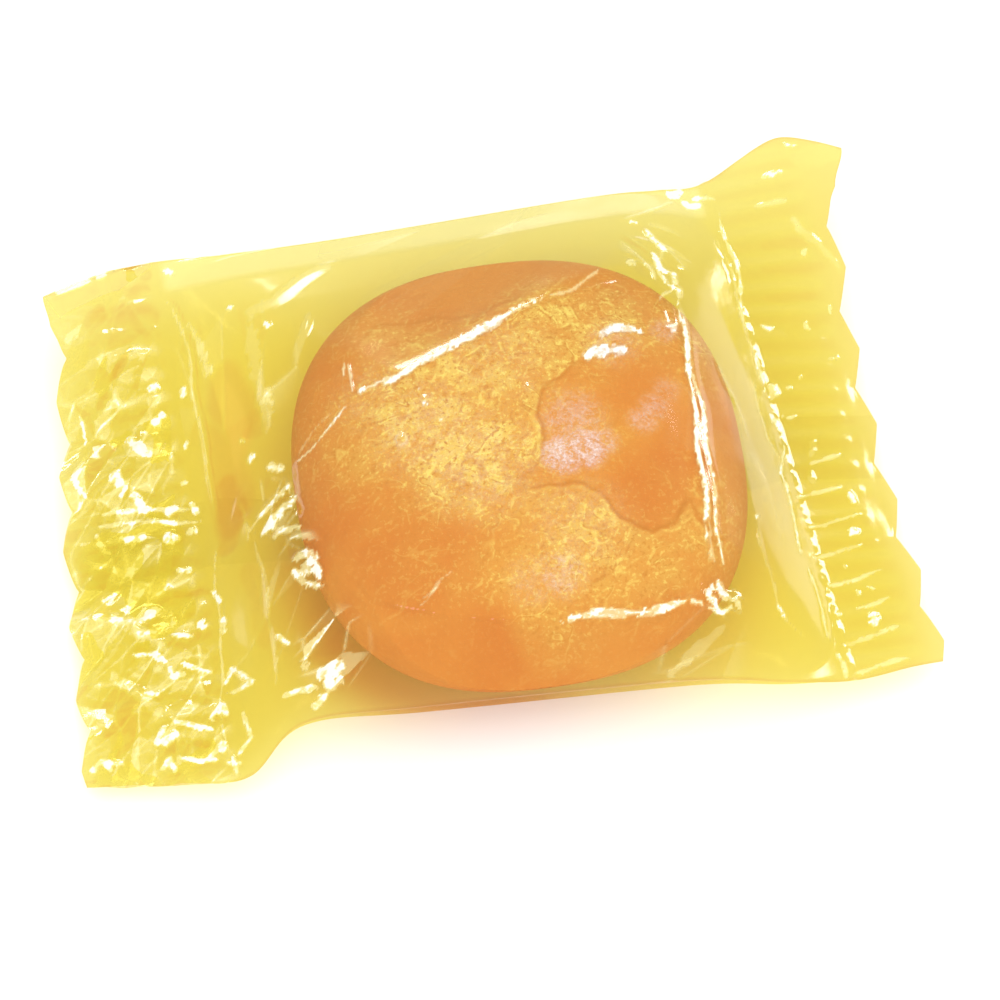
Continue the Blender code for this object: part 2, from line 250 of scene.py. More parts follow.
print("The lower film follows the candy out to", FOOT, "of its radius")

# %% [markdown]
# ## Creases and crumples
#
# Where thin film is pinched it stands up in narrow crests, and where it is crushed it breaks
# into small flat facets. Sculpting would do it by hand; here each kind is a function of the
# place in plan, so the light finds real geometry from any side. A crest is sharp over its
# route and falls off on both flanks. Facets come from a loose net of points, pushed up and
# down at random and joined into triangles, because a crushed sheet stays flat between folds.
#
# Each function also gives a tone, which the mesh stores for the material. Above 0 the film is
# whitened: partly the milky white of a sharp fold, mostly painted highlights and glints on the
# creases. Below 0 it is a deeper yellow: partly two thicknesses in a slack fold, partly painted
# shade in hollows.

# %% Creases along a route
def along_route(x, y, route):
    """Measure each point's distance from a polyline, and how far along the nearest point is."""
    route = np.array(route)
    lengths = np.hypot(*np.diff(route, axis=0).T)
    total = lengths.sum()
    nearest = np.full_like(x, np.inf)
    share = np.zeros_like(x)
    walked = 0.0
    for start, end, length in zip(route, route[1:], lengths):
        run = (end - start) / length
        step = np.clip((x - start[0]) * run[0] + (y - start[1]) * run[1], 0.0, length)
        away = np.hypot(x - start[0] - step * run[0], y - start[1] - step * run[1])
        closer = away < nearest
        nearest = np.where(closer, away, nearest)
        share = np.where(closer, (walked + step) / total, share)
        walked += length
    return nearest, share


WANDER, WANDER_TURNS = 0.10, (1.3, 1.1)
FADED_SHARE = 0.15
UNEVENNESS, UNEVEN_TURNS = 0.25, 13.0
END_WIDTH, MIDDLE_SWELL = 0.55, 1.8


def crest(x, y, route, height, width, seed):
    """Raise a narrow crest over a route; it fades out at both ends and is never quite straight."""
    bent_x = x + WANDER * np.sin(WANDER_TURNS[0] * y)
    bent_y = y + WANDER * np.sin(WANDER_TURNS[1] * x)
    away, share = along_route(bent_x, bent_y, route)
    fade = rising(share, 0.0, FADED_SHARE) * rising(1.0 - share, 0.0, FADED_SHARE)
    uneven = 1.0 + UNEVENNESS * np.sin(UNEVEN_TURNS * share + seed)
    taper = END_WIDTH + MIDDLE_SWELL * share * (1.0 - share)
    return height * fade * uneven * np.clip(1.0 - away / (width * taper), 0.0, 1.0)


# %% A net of crushed facets
KNOT_SCATTER = 0.45
CREASE_HALF_WIDTH = 0.11
CREASED_EDGES = 3
PALE_FROM, PALE_RUN = 0.45, 0.5
DEEP_FROM, DEEP_RUN = 0.5, 0.4
DEEP_SHARE, LINE_SHARE = 0.5, 0.85


def crushed_net(x, y, spacing, seed, turn=0.0, stretch=1.0):
    """Give a relief of flat triangles, a random value for each, and lines along some edges."""
    along = (x * np.cos(turn) + y * np.sin(turn)) / stretch
    aside = -x * np.sin(turn) + y * np.cos(turn)
    draw = np.random.default_rng(seed)
    columns = np.arange(along.min() - 2.0 * spacing, along.max() + 2.0 * spacing, spacing)
    rows = np.arange(aside.min() - 2.0 * spacing, aside.max() + 2.0 * spacing, spacing)
    knots = np.stack(np.meshgrid(columns, rows), axis=-1).reshape(-1, 2)
    knots = knots + draw.uniform(-KNOT_SCATTER, KNOT_SCATTER, knots.shape) * spacing
    heights = draw.uniform(-1.0, 1.0, len(knots))
    _, _, triangles, _, _, _ = delaunay_2d_cdt([Vector(knot) for knot in knots], [], [], 0, 1e-6)
    facet_values = draw.uniform(-1.0, 1.0, len(triangles))
    relief, facets, lines = np.zeros_like(x), np.zeros_like(x), np.zeros_like(x)
    order = np.argsort(along)
    sorted_along, sorted_aside = along[order], aside[order]
    for triangle, facet_value in zip(triangles, facet_values):
        corners = knots[triangle]
        low, high = corners.min(axis=0), corners.max(axis=0)
        first, last = np.searchsorted(sorted_along, (low[0], high[0]))
        span = slice(first, last)
        edge_one, edge_two = corners[1] - corners[0], corners[2] - corners[0]
        area = edge_one[0] * edge_two[1] - edge_one[1] * edge_two[0]
        if abs(area) < 1e-9:
            continue
        from_x, from_y = sorted_along[span] - corners[0, 0], sorted_aside[span] - corners[0, 1]
        one = (from_x * edge_two[1] - from_y * edge_two[0]) / area
        two = (from_y * edge_one[0] - from_x * edge_one[1]) / area
        within = (one >= 0.0) & (two >= 0.0) & (one + two <= 1.0)
        touched = order[span][within]
        shares = np.stack([1.0 - one - two, one, two], axis=1)[within]
        relief[touched] = shares @ heights[triangle]
        facets[touched] = facet_value
        for opposite, (start, end) in enumerate(((1, 2), (0, 2), (0, 1))):
            if (triangle[start] + triangle[end]) % CREASED_EDGES == 0:
                away = shares[:, opposite] * abs(area) / np.hypot(*(corners[end] - corners[start]))
                line = np.clip(1.0 - away / CREASE_HALF_WIDTH, 0.0, 1.0)
                lines[touched] = np.maximum(lines[touched], line)
    return relief, facets, lines


def facet_tone(facets, lines):
    """Let one facet in four look pale and one in four look deep, and whiten the creases between;
    the pale facets and lines are painted glints.
    """
    pale = np.clip((facets - PALE_FROM) / PALE_RUN, 0.0, 1.0)
    deep = np.clip((-facets - DEEP_FROM) / DEEP_RUN, 0.0, 1.0)
    return pale - DEEP_SHARE * deep + LINE_SHARE * lines


# %% A list of folds, and single domes
SHARD_SIZE, SHARD_SHARE = 0.36, 0.30
SHARD_SEED, SHARD_TURN, SHARD_STRETCH = 7, 0.6, 1.5
FOLD_MARGIN = 0.2
SEED_STEP = 1.7
FULL_SHARDS = 4.0
TONE_SPAN = (0.15, 0.6)


def creased(x, y, folds):
    """Add up the relief of a list of folds, and their tone, which paints highlights along them and
    deepens the film in places.
    """
    relief, tone = np.zeros_like(x), np.zeros_like(x)
    _, shards, _ = crushed_net(x, y, SHARD_SIZE, SHARD_SEED, SHARD_TURN, SHARD_STRETCH)
    for number, (route, rise, width, whiteness) in enumerate(folds):
        low = np.min(route, axis=0) - width - FOLD_MARGIN
        high = np.max(route, axis=0) + width + FOLD_MARGIN
        close = (x > low[0]) & (x < high[0]) & (y > low[1]) & (y < high[1])
        profile = crest(x[close], y[close], route, 1.0, width, SEED_STEP * number)
        relief[close] += rise * profile
        if whiteness > 0.0:
            onset = np.minimum(FULL_SHARDS * profile, 1.0)
            profile = profile + SHARD_SHARE * shards[close] * onset
        tone[close] += whiteness * rising(profile, *TONE_SPAN)
    return relief, tone


def dome(x, y, centre, radius, height):
    """Raise a round bubble."""
    away = np.hypot(x - centre[0], y - centre[1]) / radius
    return height * np.sqrt(np.clip(1.0 - away ** 2, 0.0, 1.0))


def near(x, y, centre, radius):
    """Give 1 at a centre, easing to 0 at a radius."""
    return rising(1.0 - np.hypot(x - centre[0], y - centre[1]) / radius, 0.0, 0.8)


# %% [markdown]
# ## The folds, one by one
#
# The bright lines are what makes film look like film, so the larger ones aren't left to chance.
# Each is a route of a few points, read off the photo and written in millimetres, with the height
# and width of its crest and its tone. The lamps find the crest, and the tone paints most of its
# highlight. Crushed places, where folds are too many to tell apart, get a patch of the net in their
# middle instead, and trapped air gets a small dome.

# %% The folds over the candy
TOP_FOLDS = [
    # route, height, half width, tone: above 0 a painted highlight whitens the fold, below 0 it is
    # deeper yellow
    ([(-5.0, 2.5), (-1.8, 3.7), (1.1, 5), (3.5, 6), (5.4, 6.6)], 0.02, 0.42, 1.1),
    ([(5.1, 6.5), (6.6, 7), (7.6, 7.8), (8.4, 8.3)], 0.04, 0.2, 0.6),
    ([(-6.3, 2.3), (-5.3, 2.7), (-4.1, 3.1)], 0.05, 0.14, 0.8),
    ([(-10.2, -0.3), (-8.7, 0.2), (-7.5, 1), (-6.3, 2.1)], 0.06, 0.13, 0.85),
    ([(-9.7, 0.2), (-8.4, 1.2), (-6.8, 2)], 0.05, 0.1, 0.4),
    ([(-6.4, 4.7), (-6.7, 3.7)], 0.06, 0.12, 0.8),
    ([(-6.3, 4.7), (-6.3, 2.3)], 0.06, 0.12, 0.8),
    ([(-6, 2.4), (-5.6, 2.8)], 0.08, 0.24, 1.0),
    ([(7.2, 3.6), (8, 4.1), (8.7, 4.2), (9.4, 3.9), (10.1, 3.6)], 0.05, 0.40, 1.1),
    ([(6.2, 2.4), (7.1, 2.7), (8.1, 2.7), (9.1, 2.6)], 0.06, 0.60, 1.2),
    ([(11.2, 4.1), (11.8, 4.2), (11.4, 3.7)], 0.06, 0.34, 0.9),
    ([(12.6, 6.8), (12.2, 4.8), (12.2, 2.2), (12, -0.6), (11.8, -3.9), (11.6, -6.7), (11.4, -9.3),
      (11.2, -11)], 0.04, 0.20, 1.0),
    ([(12.5, 5.9), (12.3, 3.7), (12.3, 1.3), (12.4, -0.6), (12.3, -3.8), (12.1, -6.7), (12, -9.3),
      (11.8, -11.1)], 0.04, 0.20, 1.0),
    ([(12, 0.7), (11.9, -1.9), (11.8, -4.9), (11.7, -8), (11.4, -10.9)], 0.02, 0.12, 0.5),
    ([(11.5, 8.4), (11.5, 7.9), (12, 7), (12.6, 6.8), (12.5, 5.9)], 0.08, 0.22, 0.95),
    ([(11.9, 8.2), (12.6, 7.8)], 0.06, 0.14, 0.9),
    ([(12.4, 8.5), (13.1, 8.6)], 0.05, 0.12, 0.6),
    ([(10.6, 11.8), (11.2, 11.7)], 0.06, 0.22, 0.95),
    ([(11.4, 11.3), (11.8, 10.8), (12.1, 10), (12.4, 9.5)], 0.1, 0.24, 1.0),
    ([(10.2, 12), (11.2, 12.3), (12.6, 13.2), (13.5, 13.7)], 0.05, 0.14, 0.35),
    ([(13.1, 14.4), (13.5, 14), (14.1, 14.4)], 0.06, 0.34, 0.95),
    ([(13.8, 13.7), (14.1, 13.2), (15, 13)], 0.06, 0.3, 0.6),
    ([(9.8, 8.3), (10.3, 8.6)], 0.05, 0.4, 0.7),
    ([(11.3, 6), (12.2, 6.7)], 0.05, 0.2, 0.6),
    ([(2.4, -12.5), (3.8, -12.4), (6.1, -12.3), (8.2, -12.4), (10, -12.2)], 0.03, 0.34, 1.0),
    ([(10.7, -11.5), (11, -12.2), (11.5, -12.6)], 0.1, 0.28, 1.0),
    ([(11.4, -11), (11.6, -12), (12.2, -12.3)], 0.1, 0.3, 1.0),
    ([(10.7, -12.6), (11.5, -12.7), (12.3, -12.5)], 0.08, 0.24, 0.9),
    ([(11.2, -11.2), (10.8, -12.2)], 0.1, 0.2, 0.9),
    ([(9.8, -12.3), (10.6, -12.5)], 0.06, 0.2, 0.8),
    ([(11.9, -13.2), (10.1, -14.3), (7.8, -15.3)], 0.08, 0.38, 0.35),
    ([(-2.5, 1), (-2.3, 0.7)], 0.04, 0.16, 1.0),
    ([(-1.9, -0.3), (-1.7, -0.4)], 0.04, 0.12, 0.8),
    ([(-2.7, 1.9), (-2.4, 1.7)], 0.03, 0.12, 0.8),
    ([(-4.8, -10.4), (-4.1, -10.1), (-3.2, -9.3), (-2.3, -9)], 0.04, 0.12, 0.5),
    ([(-4.6, -10.1), (-3.3, -9.6)], 0.03, 0.1, 0.4),
    ([(-7.8, 8.9), (-9.1, 5.1)], 0.10, 0.40, 0.25),
    ([(12.2, 6.2), (12.1, 3.4), (12.1, -3.8), (11.9, -8.6), (11.6, -12.3)], 0.05, 0.25, 0.0),
    ([(12.6, 4.2), (12.5, -3.8), (12.3, -8.6), (12.3, -11.8)], 0.06, 0.25, 0.0),
]
print(len(TOP_FOLDS), "folds over the candy")

# %% The folds of the left neck and end
LEFT_FOLDS = [
    # painted shade: the hollow under the folded strip is deepened
    ([(-17.1, 15.2), (-17.6, 14.4), (-18.2, 13.5)], -0.04, 0.7, -0.35),
    ([(-17.1, 15.2), (-16.7, 14.3), (-16.2, 13.6)], -0.04, 0.7, -0.35),
    ([(-18.3, 13.3), (-17.3, 12.9), (-16.2, 13.2)], -0.04, 0.6, -0.30),
    ([(-20.4, 11.2), (-17.6, 11.9), (-15.9, 10.6)], -0.04, 1.7, -0.35),
    ([(-16.2, 13.2), (-15.2, 11.9), (-14.8, 10.5), (-14.7, 8.1), (-14.7, 6.3), (-14.7, 3.9),
      (-14.5, 1.7), (-14.7, -2)], 0.1, 0.14, 0.55),
    ([(-15.9, 13.3), (-14.8, 11.7), (-14.4, 10.2), (-14.4, 7.8), (-14.3, 6.1), (-14.4, 3.8),
      (-14.2, 1.6), (-14.4, -2.2)], 0.05, 0.1, -0.35),
    ([(-14.4, -2.2), (-15.2, -5.2), (-15.1, -7.7), (-15.3, -9.4), (-15.8, -11.6),
      (-15.6, -15.3)], 0.08, 0.12, 0.5),
    ([(-17.5, 9.6), (-18.5, 7.6), (-19.7, 6.1), (-20.3, 4.7)], 0.14, 0.75, 0.4),
    ([(-18, 9.5), (-19.1, 7.8), (-20.2, 6.3)], -0.1, 0.5, -0.4),
    ([(-21.6, 10.4), (-20.7, 11), (-20.2, 11.6)], 0.08, 0.35, 0.5),
    ([(-17.2, 6.9), (-16.5, 7.3)], 0.14, 0.55, 1.0),
    ([(-17.2, 5), (-16.3, 5.8)], 0.12, 0.4, 1.0),
    ([(-15.2, 6.2), (-15.2, 7)], 0.1, 0.3, 0.9),
    ([(-18.8, 4.7), (-18.3, 4), (-17.9, 2.9)], 0.16, 0.45, 1.0),
    ([(-15.6, 3.8), (-15.6, 3.2)], 0.1, 0.25, 0.9),
    ([(-19.9, 2.7), (-19.5, 2.1), (-19.3, 1.6)], 0.14, 0.5, 1.0),
    ([(-19.5, 1), (-18.9, 1.7)], 0.12, 0.22, 1.0),
    ([(-18.8, 1.2), (-18.4, 0.5), (-18.1, -0.1)], 0.14, 0.45, 1.0),
    ([(-17.3, -0.4), (-16.8, -0.1), (-16.4, 0)], 0.12, 0.35, 1.0),
    ([(-15.8, 0.2), (-15.5, -0.7)], 0.12, 0.3, 0.9),
    ([(-15.9, 1.5), (-15.8, 1.2)], 0.1, 0.3, 0.8),
    ([(-21.1, 6.7), (-21, 6), (-21.3, 4.8)], 0.1, 0.2, 0.9),
    ([(-21.2, 4), (-21.8, 2.6), (-21.3, 1.2)], 0.1, 0.25, 0.8),
    ([(-21.2, 0.4), (-18, 0.1), (-15, -0.4)], 0.08, 0.22, 0.6),
    ([(-21.3, -0.2), (-18.1, -0.6), (-15, -1.2)], 0.08, 0.22, 0.6),
    ([(-22.4, -0.9), (-19.9, -1.2), (-17.7, -1.7)], 0.06, 0.2, 0.5),
    ([(-19.9, -1.4), (-19.1, -1.5), (-18.4, -1.4)], 0.14, 0.4, 1.0),
    ([(-17.7, -1.7), (-17.1, -1.6), (-16.6, -2)], 0.16, 0.5, 1.0),
    ([(-21.2, -0.5), (-20.8, -1.6), (-20.4, -1.7)], 0.08, 0.2, 0.8),
    ([(-16.4, -1.6), (-15.6, -1.5)], 0.12, 0.45, 0.9),
    ([(-17.1, -3.6), (-16, -3.6)], 0.1, 0.22, 1.0),
    ([(-22.2, -1.7), (-19.9, -2.9), (-18.5, -3.2)], 0.06, 0.3, 0.45),
    ([(-21.3, -5), (-19.5, -6.9), (-18, -8.6)], 0.14, 0.6, 0.45),
    ([(-21.6, -8.4), (-19.6, -11.1), (-18.9, -12.3)], 0.14, 0.55, 0.45),
    ([(-20.2, -8), (-18.8, -8.4), (-18.1, -9.1)], 0.12, 0.28, 0.95),
    ([(-19.6, -6.5), (-18.8, -5.8), (-18.2, -5.5)], 0.14, 0.55, 0.75),
    ([(-19.9, -10.4), (-19, -10.7)], 0.1, 0.3, 0.9),
    ([(-17.9, -7.5), (-17.2, -7.6), (-16.5, -7.8)], 0.14, 0.22, 1.0),
    ([(-17.6, -9.2), (-16.7, -9.6), (-15.8, -9.9)], 0.14, 0.22, 1.0),
    ([(-18.4, -12.6), (-17.3, -12.9), (-16.1, -13.2)], 0.14, 0.24, 1.0),
    ([(-18.5, -14.5), (-17.4, -14.9), (-16.2, -14.9)], 0.14, 0.24, 1.0),
    ([(-17.7, -6.2), (-17.7, -6.9)], 0.1, 0.2, 0.9),
    ([(-16.1, -6.7), (-16.1, -7.5)], 0.1, 0.4, 0.9),
    ([(-15.4, -5.1), (-15, -6.2)], 0.1, 0.22, 1.0),
    ([(-14.9, -6.9), (-14.9, -8)], 0.1, 0.25, 1.0),
    ([(-15.8, -11.1), (-14.9, -10), (-14, -11.4), (-15.7, -11.2)], 0.1, 0.22, 0.85),
    ([(-18.1, -9.2), (-18.1, -9.8), (-17.3, -9.8)], 0.1, 0.25, 0.8),
    ([(-16.4, -12.8), (-15.7, -11.9), (-15.3, -12.7)], 0.12, 0.3, 0.9),
    ([(-14.6, -12.4), (-14.3, -14.1), (-15.4, -15)], 0.1, 0.22, 0.8),
    ([(-19.5, -13.8), (-18.9, -12.9), (-18.6, -12.9)], 0.12, 0.3, 0.9),
    ([(-19.1, -13.9), (-18.1, -13.2)], 0.12, 0.4, 0.9),
    ([(-16.2, -14.5), (-15.7, -13.9)], 0.12, 0.35, 0.9),
    ([(-16.1, -15.1), (-15.1, -15.4)], 0.08, 0.2, 0.8),
    ([(-15.6, -14.7), (-15.5, -16)], 0.08, 0.2, 0.8),
    ([(-23.3, -14.7), (-22.6, -14), (-21.2, -14.2)], 0.12, 0.3, 0.8),
    ([(-22.3, -14.1), (-22.1, -14.6)], 0.1, 0.25, 0.9),
    ([(-19.5, -15.1), (-18.9, -14.5), (-18.7, -15.5)], 0.1, 0.28, 0.8),
    ([(-17.6, -4.8), (-15.1, -5.3)], -0.05, 0.35, -0.3),
    ([(-17.9, -8), (-15.8, -8.7)], -0.05, 0.35, -0.3),
    ([(-18.1, -10.9), (-16.1, -11.7)], -0.05, 0.4, -0.35),
    ([(-18.2, -13.7), (-16.3, -14)], -0.05, 0.35, -0.35),
    ([(-22.8, -12.4), (-20.7, -11.9), (-20.4, -13.2)], -0.06, 0.7, -0.35),
    ([(-14.5, 10.8), (-14.2, 9.1), (-13.9, 7.4), (-13.5, 6.4)], 0.10, 0.38, 0.6),
    ([(-10.9, 10), (-11.2, 8.3), (-11.1, 6), (-11, 3.5), (-11.1, 1.6)], 0.06, 0.60, 0.4),
    ([(-11.6, 9.6), (-9.4, 10.3), (-7.6, 11.4), (-5.4, 12.4)], 0.04, 0.60, 0.35),
    ([(-12.1, 10.5), (-11.8, 10.2)], 0.1, 0.28, 1.0),
    ([(-15.5, 14.2), (-14.9, 13.8)], 0.1, 0.3, 1.0),
    ([(-10.4, 9), (-10.2, 8.4)], 0.1, 0.3, 1.0),
    ([(-12.3, 0.7), (-11.8, 1.1)], 0.14, 0.3, 1.0),
    ([(-12.6, 2.2), (-12.3, 1.8)], 0.1, 0.18, 1.0),
    ([(-11.6, 0.2), (-10.4, -0.2)], 0.12, 0.35, 0.8),
    ([(-12.2, -3.9), (-11, -2.7), (-9.8, -2)], 0.14, 0.45, 0.9),
    ([(-12.4, -2.8), (-11.5, -2.2), (-10.3, -1.1)], 0.12, 0.3, 0.8),
    ([(-11.7, -4.2), (-11, -3.9), (-9.9, -4)], 0.1, 0.35, 0.7),
    ([(-11.2, -6.1), (-10.4, -5.6), (-9.9, -5.7), (-9.6, -7.1), (-9.3, -7.7)], 0.14, 0.4, 1.0),
    ([(-11.1, -6.2), (-10.3, -7.3), (-9.2, -7.9)], 0.1, 0.3, 0.9),
    ([(-10.4, -6.1), (-10, -7)], 0.1, 0.5, 0.8),
    ([(-12.4, -2.8), (-12.6, -4.6), (-12.4, -8.1), (-12.5, -9.8), (-12.7, -12.6)],
     0.07, 0.16, 0.35),
    ([(-12.3, -9.6), (-12, -10.1), (-11.6, -10.5)], 0.1, 0.22, 1.0),
    ([(-11.2, -11.8), (-10.9, -11.2)], 0.1, 0.45, 0.6),
    ([(-10.5, -12.2), (-9.7, -12.2), (-8.8, -12.1)], 0.14, 0.55, 1.0),
    ([(-10.2, -12.6), (-9.5, -12.9), (-8.9, -12.6)], 0.12, 0.45, 0.9),
    ([(-12.5, -12.8), (-11.1, -12.7), (-10.2, -12.7)], 0.1, 0.25, 0.9),
    ([(-10.9, -13.6), (-10.3, -13.3), (-9.7, -13)], 0.12, 0.35, 0.95),
    # painted shade: the left neck, in the candy's shade, is deepened to an orange yellow
    ([(-13.6, 0.9), (-13.7, -2), (-14.2, -4.1)], -0.08, 1.2, -0.45),
    ([(-12.6, 8.0), (-12.9, 4.0), (-13.4, 0.5), (-13.8, -3.8)], -0.03, 2.0, -0.42),
    ([(-13.5, -4.5), (-12.8, -8), (-12.9, -10.6)], -0.04, 0.9, -0.2),
    ([(-11.1, 3.9), (-11.6, 2.5), (-12.6, 2.2)], -0.05, 0.8, -0.25),
]
print(len(LEFT_FOLDS), "folds on the left")

# %% The folds of the right neck and end
RIGHT_FOLDS = [
    ([(15.8, 12.8), (15.9, 11.6), (16.3, 9.4), (16.2, 7.1), (16.2, 5.6), (16.3, 4.6)],
     0.1, 0.17, 0.85),
    ([(16.3, 3.9), (16.4, 2.9), (16.7, 1.7)], 0.1, 0.22, 0.85),
    ([(17, 2.1), (17.2, 1.3), (16.8, 0.9)], 0.12, 0.4, 0.55),
    ([(16.7, 0.1), (16.8, -0.8)], 0.12, 0.3, 1.0),
    ([(16.9, -0.7), (17, -2.1), (16.6, -3.9), (16.7, -4.7), (16.6, -5.9), (16.7, -7.3),
      (16.8, -8.7), (16.8, -9.5)], 0.08, 0.15, 0.85),
    ([(16.9, -9.2), (17.1, -10.9), (17.3, -12.1), (17.4, -13.1), (17.6, -13.9)], 0.08, 0.15, 0.75),
    ([(17.6, -14.2), (17.9, -15), (17.9, -16)], 0.1, 0.22, 0.75),
    ([(18.5, 14.3), (19.2, 14.3), (19.9, 14.3)], 0.1, 0.26, 1.0),
    ([(20.2, 15.9), (20.9, 15.6)], 0.08, 0.26, 1.0),
    ([(17.7, 12.6), (19.1, 12.6), (19.9, 12.5)], 0.06, 0.25, 0.4),
    ([(20.5, 14.5), (21.4, 15), (22.7, 14.8)], 0.1, 0.95, 0.2),
    ([(19.8, 11.8), (20.4, 10.6), (21.3, 9.8), (22, 8.8), (22.3, 8)], 0.14, 0.42, 0.4),
    ([(21.4, 6.6), (21.4, 5.9)], 0.06, 0.25, 0.7),
    ([(19.7, 5.8), (19.7, 5.2)], 0.06, 0.25, 0.7),
    ([(17.1, 5.6), (17.5, 5.4), (17.9, 5.5)], 0.08, 0.22, 0.8),
    ([(20, 9.4), (20.5, 9.7)], 0.06, 0.22, 0.6),
    ([(18.6, 2.4), (18.8, 2.5)], 0.06, 0.22, 0.7),
    ([(17.9, 1.7), (18.2, 1.9)], 0.06, 0.22, 0.7),
    ([(17.2, 0.1), (17.5, -0.1), (18.1, 0.1)], 0.06, 0.22, 0.7),
    ([(20.4, 3.3), (21.1, 3.4)], 0.05, 0.22, 0.4),
    ([(18.2, -2.9), (19.2, -2.6), (20.3, -2.4)], 0.07, 0.2, 0.55),
    ([(16.9, -5.1), (18.3, -4.6), (20, -4.3)], 0.07, 0.2, 0.6),
    ([(17.2, -6.8), (18.9, -6.4), (20.7, -6)], 0.07, 0.2, 0.6),
    ([(17.1, -8.8), (19, -8.2), (20.6, -7.9)], 0.07, 0.2, 0.5),
    ([(17.7, -10.3), (19.6, -10), (21.4, -9.6)], 0.07, 0.2, 0.6),
    ([(19.1, -11.8), (20.2, -11.7), (21.3, -11.4)], 0.07, 0.22, 0.6),
    ([(17.8, -13.9), (19.7, -13.6), (21.7, -13.2)], 0.07, 0.22, 0.55),
    ([(18.1, -15.6), (19.9, -15.3), (21.8, -15.2)], 0.07, 0.22, 0.7),
    ([(18.7, -1.3), (18.5, -2.5)], 0.05, 0.3, 0.25),
    ([(18.4, -3.2), (18.3, -4.1)], 0.05, 0.3, 0.25),
    ([(20.2, -4.6), (20.3, -5.1), (20.4, -5.5)], 0.14, 0.3, 1.0),
    ([(19.9, -6.8), (20.1, -7.4)], 0.14, 0.42, 1.0),
    ([(20.1, -12.1), (20.2, -12.6), (20.1, -13.1)], 0.14, 0.45, 1.0),
    ([(20.2, -10.8), (20.3, -10.6)], 0.08, 0.35, 0.8),
    ([(19.4, -10.6), (19.5, -11.1)], 0.08, 0.18, 0.6),
    ([(19.1, -9.2), (19.3, -9.1)], 0.06, 0.2, 0.6),
    ([(18.1, -12.1), (18.4, -11.9)], 0.06, 0.2, 0.6),
    ([(17.3, 7.2), (19, 7.2), (20.7, 7.1)], -0.04, 0.5, -0.12),
    ([(18.1, 5.1), (19.3, 5.3), (20.7, 5.4)], -0.04, 0.5, -0.12),
    ([(17.7, 10.2), (19.3, 10.2), (20.9, 9.9)], -0.04, 0.5, -0.12),
    ([(17.3, 8.9), (19, 8.9), (21.6, 8.6)], -0.04, 0.5, -0.12),
    ([(15.4, 11.9), (15.9, 8.9), (16.1, 5.2), (16.3, 2.7), (16.4, 1.6)], 0.05, 0.13, 0.4),
    ([(16.1, 1.9), (15.9, -0.2), (16, -1.8), (16.8, -3.1)], 0.05, 0.14, 0.4),
    ([(14.4, -7.7), (14.4, -9.9), (14.7, -12.3), (15.2, -13.2), (16.3, -14.2)], 0.05, 0.14, 0.35),
    ([(14.6, -12.2), (15.1, -13)], 0.08, 0.16, 0.9),
    ([(14.4, -7.2), (14.5, -7.4)], 0.06, 0.22, 0.9),
    ([(14.8, -3), (15.3, -5), (15.7, -7.8), (15.8, -8.6)], 0.05, 0.75, 0.15),
    ([(14.4, 13.6), (15.6, 13.3), (15.8, 13.1)], 0.06, 0.25, 0.7),
    ([(11.4, 11.4), (11.8, 10.2), (12.1, 9.5)], 0.1, 0.22, 0.8),
    ([(11.5, 9.6), (11.6, 8.2), (12.1, 7.9)], 0.1, 0.3, 1.0),
    ([(10.7, 8.6), (11.2, 7.8), (11.3, 7.1)], 0.1, 0.2, 0.7),
    ([(12.4, 8.2), (12.3, 6.6)], 0.08, 0.25, 0.8),
    ([(13.8, 2.7), (14.5, 0.1), (14.8, -2.5)], 0.04, 0.2, 0.3),
]
print(len(RIGHT_FOLDS), "folds on the right")

# %% Bubbles and crushed places
BUBBLES = [
    # centre, radius, height
    ((-4.1, -1.0), 0.38, 0.14), ((-2.5, 1.2), 0.22, 0.08), ((3.2, 0.9), 0.25, 0.08),
]
CRUSHED = [
    # centre, radius, spacing of the net, height, direction of its longer facets, stretch, tone
    ((-11.8, -2.2), 2.6, 0.60, 0.26, 1.0, 2.2, 0.7),
    ((-10.4, -5.4), 1.7, 0.80, 0.22, -0.6, 1.6, 0.6),
    ((-9.4, -11.2), 3.0, 0.80, 0.30, 0.5, 2.4, 0.7),
    ((11.9, -12.2), 1.3, 0.50, 0.30, -0.9, 1.4, 0.8),
    ((11.7, 9.6), 3.0, 0.85, 0.18, -0.8, 2.2, 0.5),
    ((8.6, 3.3), 2.0, 0.60, 0.03, 0.3, 2.5, 0.0),
    ((-12.6, 6.5), 6.0, 1.30, 0.26, 1.45, 3.2, 0.3),
    ((-12.8, -8.5), 4.5, 1.30, 0.24, 1.2, 2.4, 0.3),
    ((14.6, -3.0), 8.0, 1.70, 0.13, 1.45, 3.5, 0.15),
    ((10.0, -14.0), 4.0, 1.20, 0.16, 0.45, 3.0, 0.25),
    ((0.0, 11.5), 9.0, 2.60, 0.10, 0.25, 3.0, 0.1),
]
FOLDS = [*TOP_FOLDS, *LEFT_FOLDS, *RIGHT_FOLDS]
print(len(FOLDS), "folds in all,", len(CRUSHED), "crushed places and", len(BUBBLES), "bubbles")

# %% [markdown]
# ## The crimped ends
#
# Two hot jaws weld the ends. They press a row of short ribs that run along the tube, leave a
# thin bead on the side of the candy, and cut the edge in a zigzag. The right end lies fairly
# flat and shows its ribs as a neat row of cells. The left end has been crushed, so its ribs
# show only in places, between bright little facets.

# %% What the jaws press: ribs and beads
RIB_PITCH = 1.52
RIB_HALF_WIDTH = 0.38
LEFT_RIB, RIGHT_RIB = 0.08, 0.025
LEFT_BARS, RIGHT_BARS = 0.20, 0.12
BEAD_HEIGHT = 0.16
LEFT_BEAD, RIGHT_BEAD = 0.07, 0.09
LEFT_BEAD_SHARE = 0.6


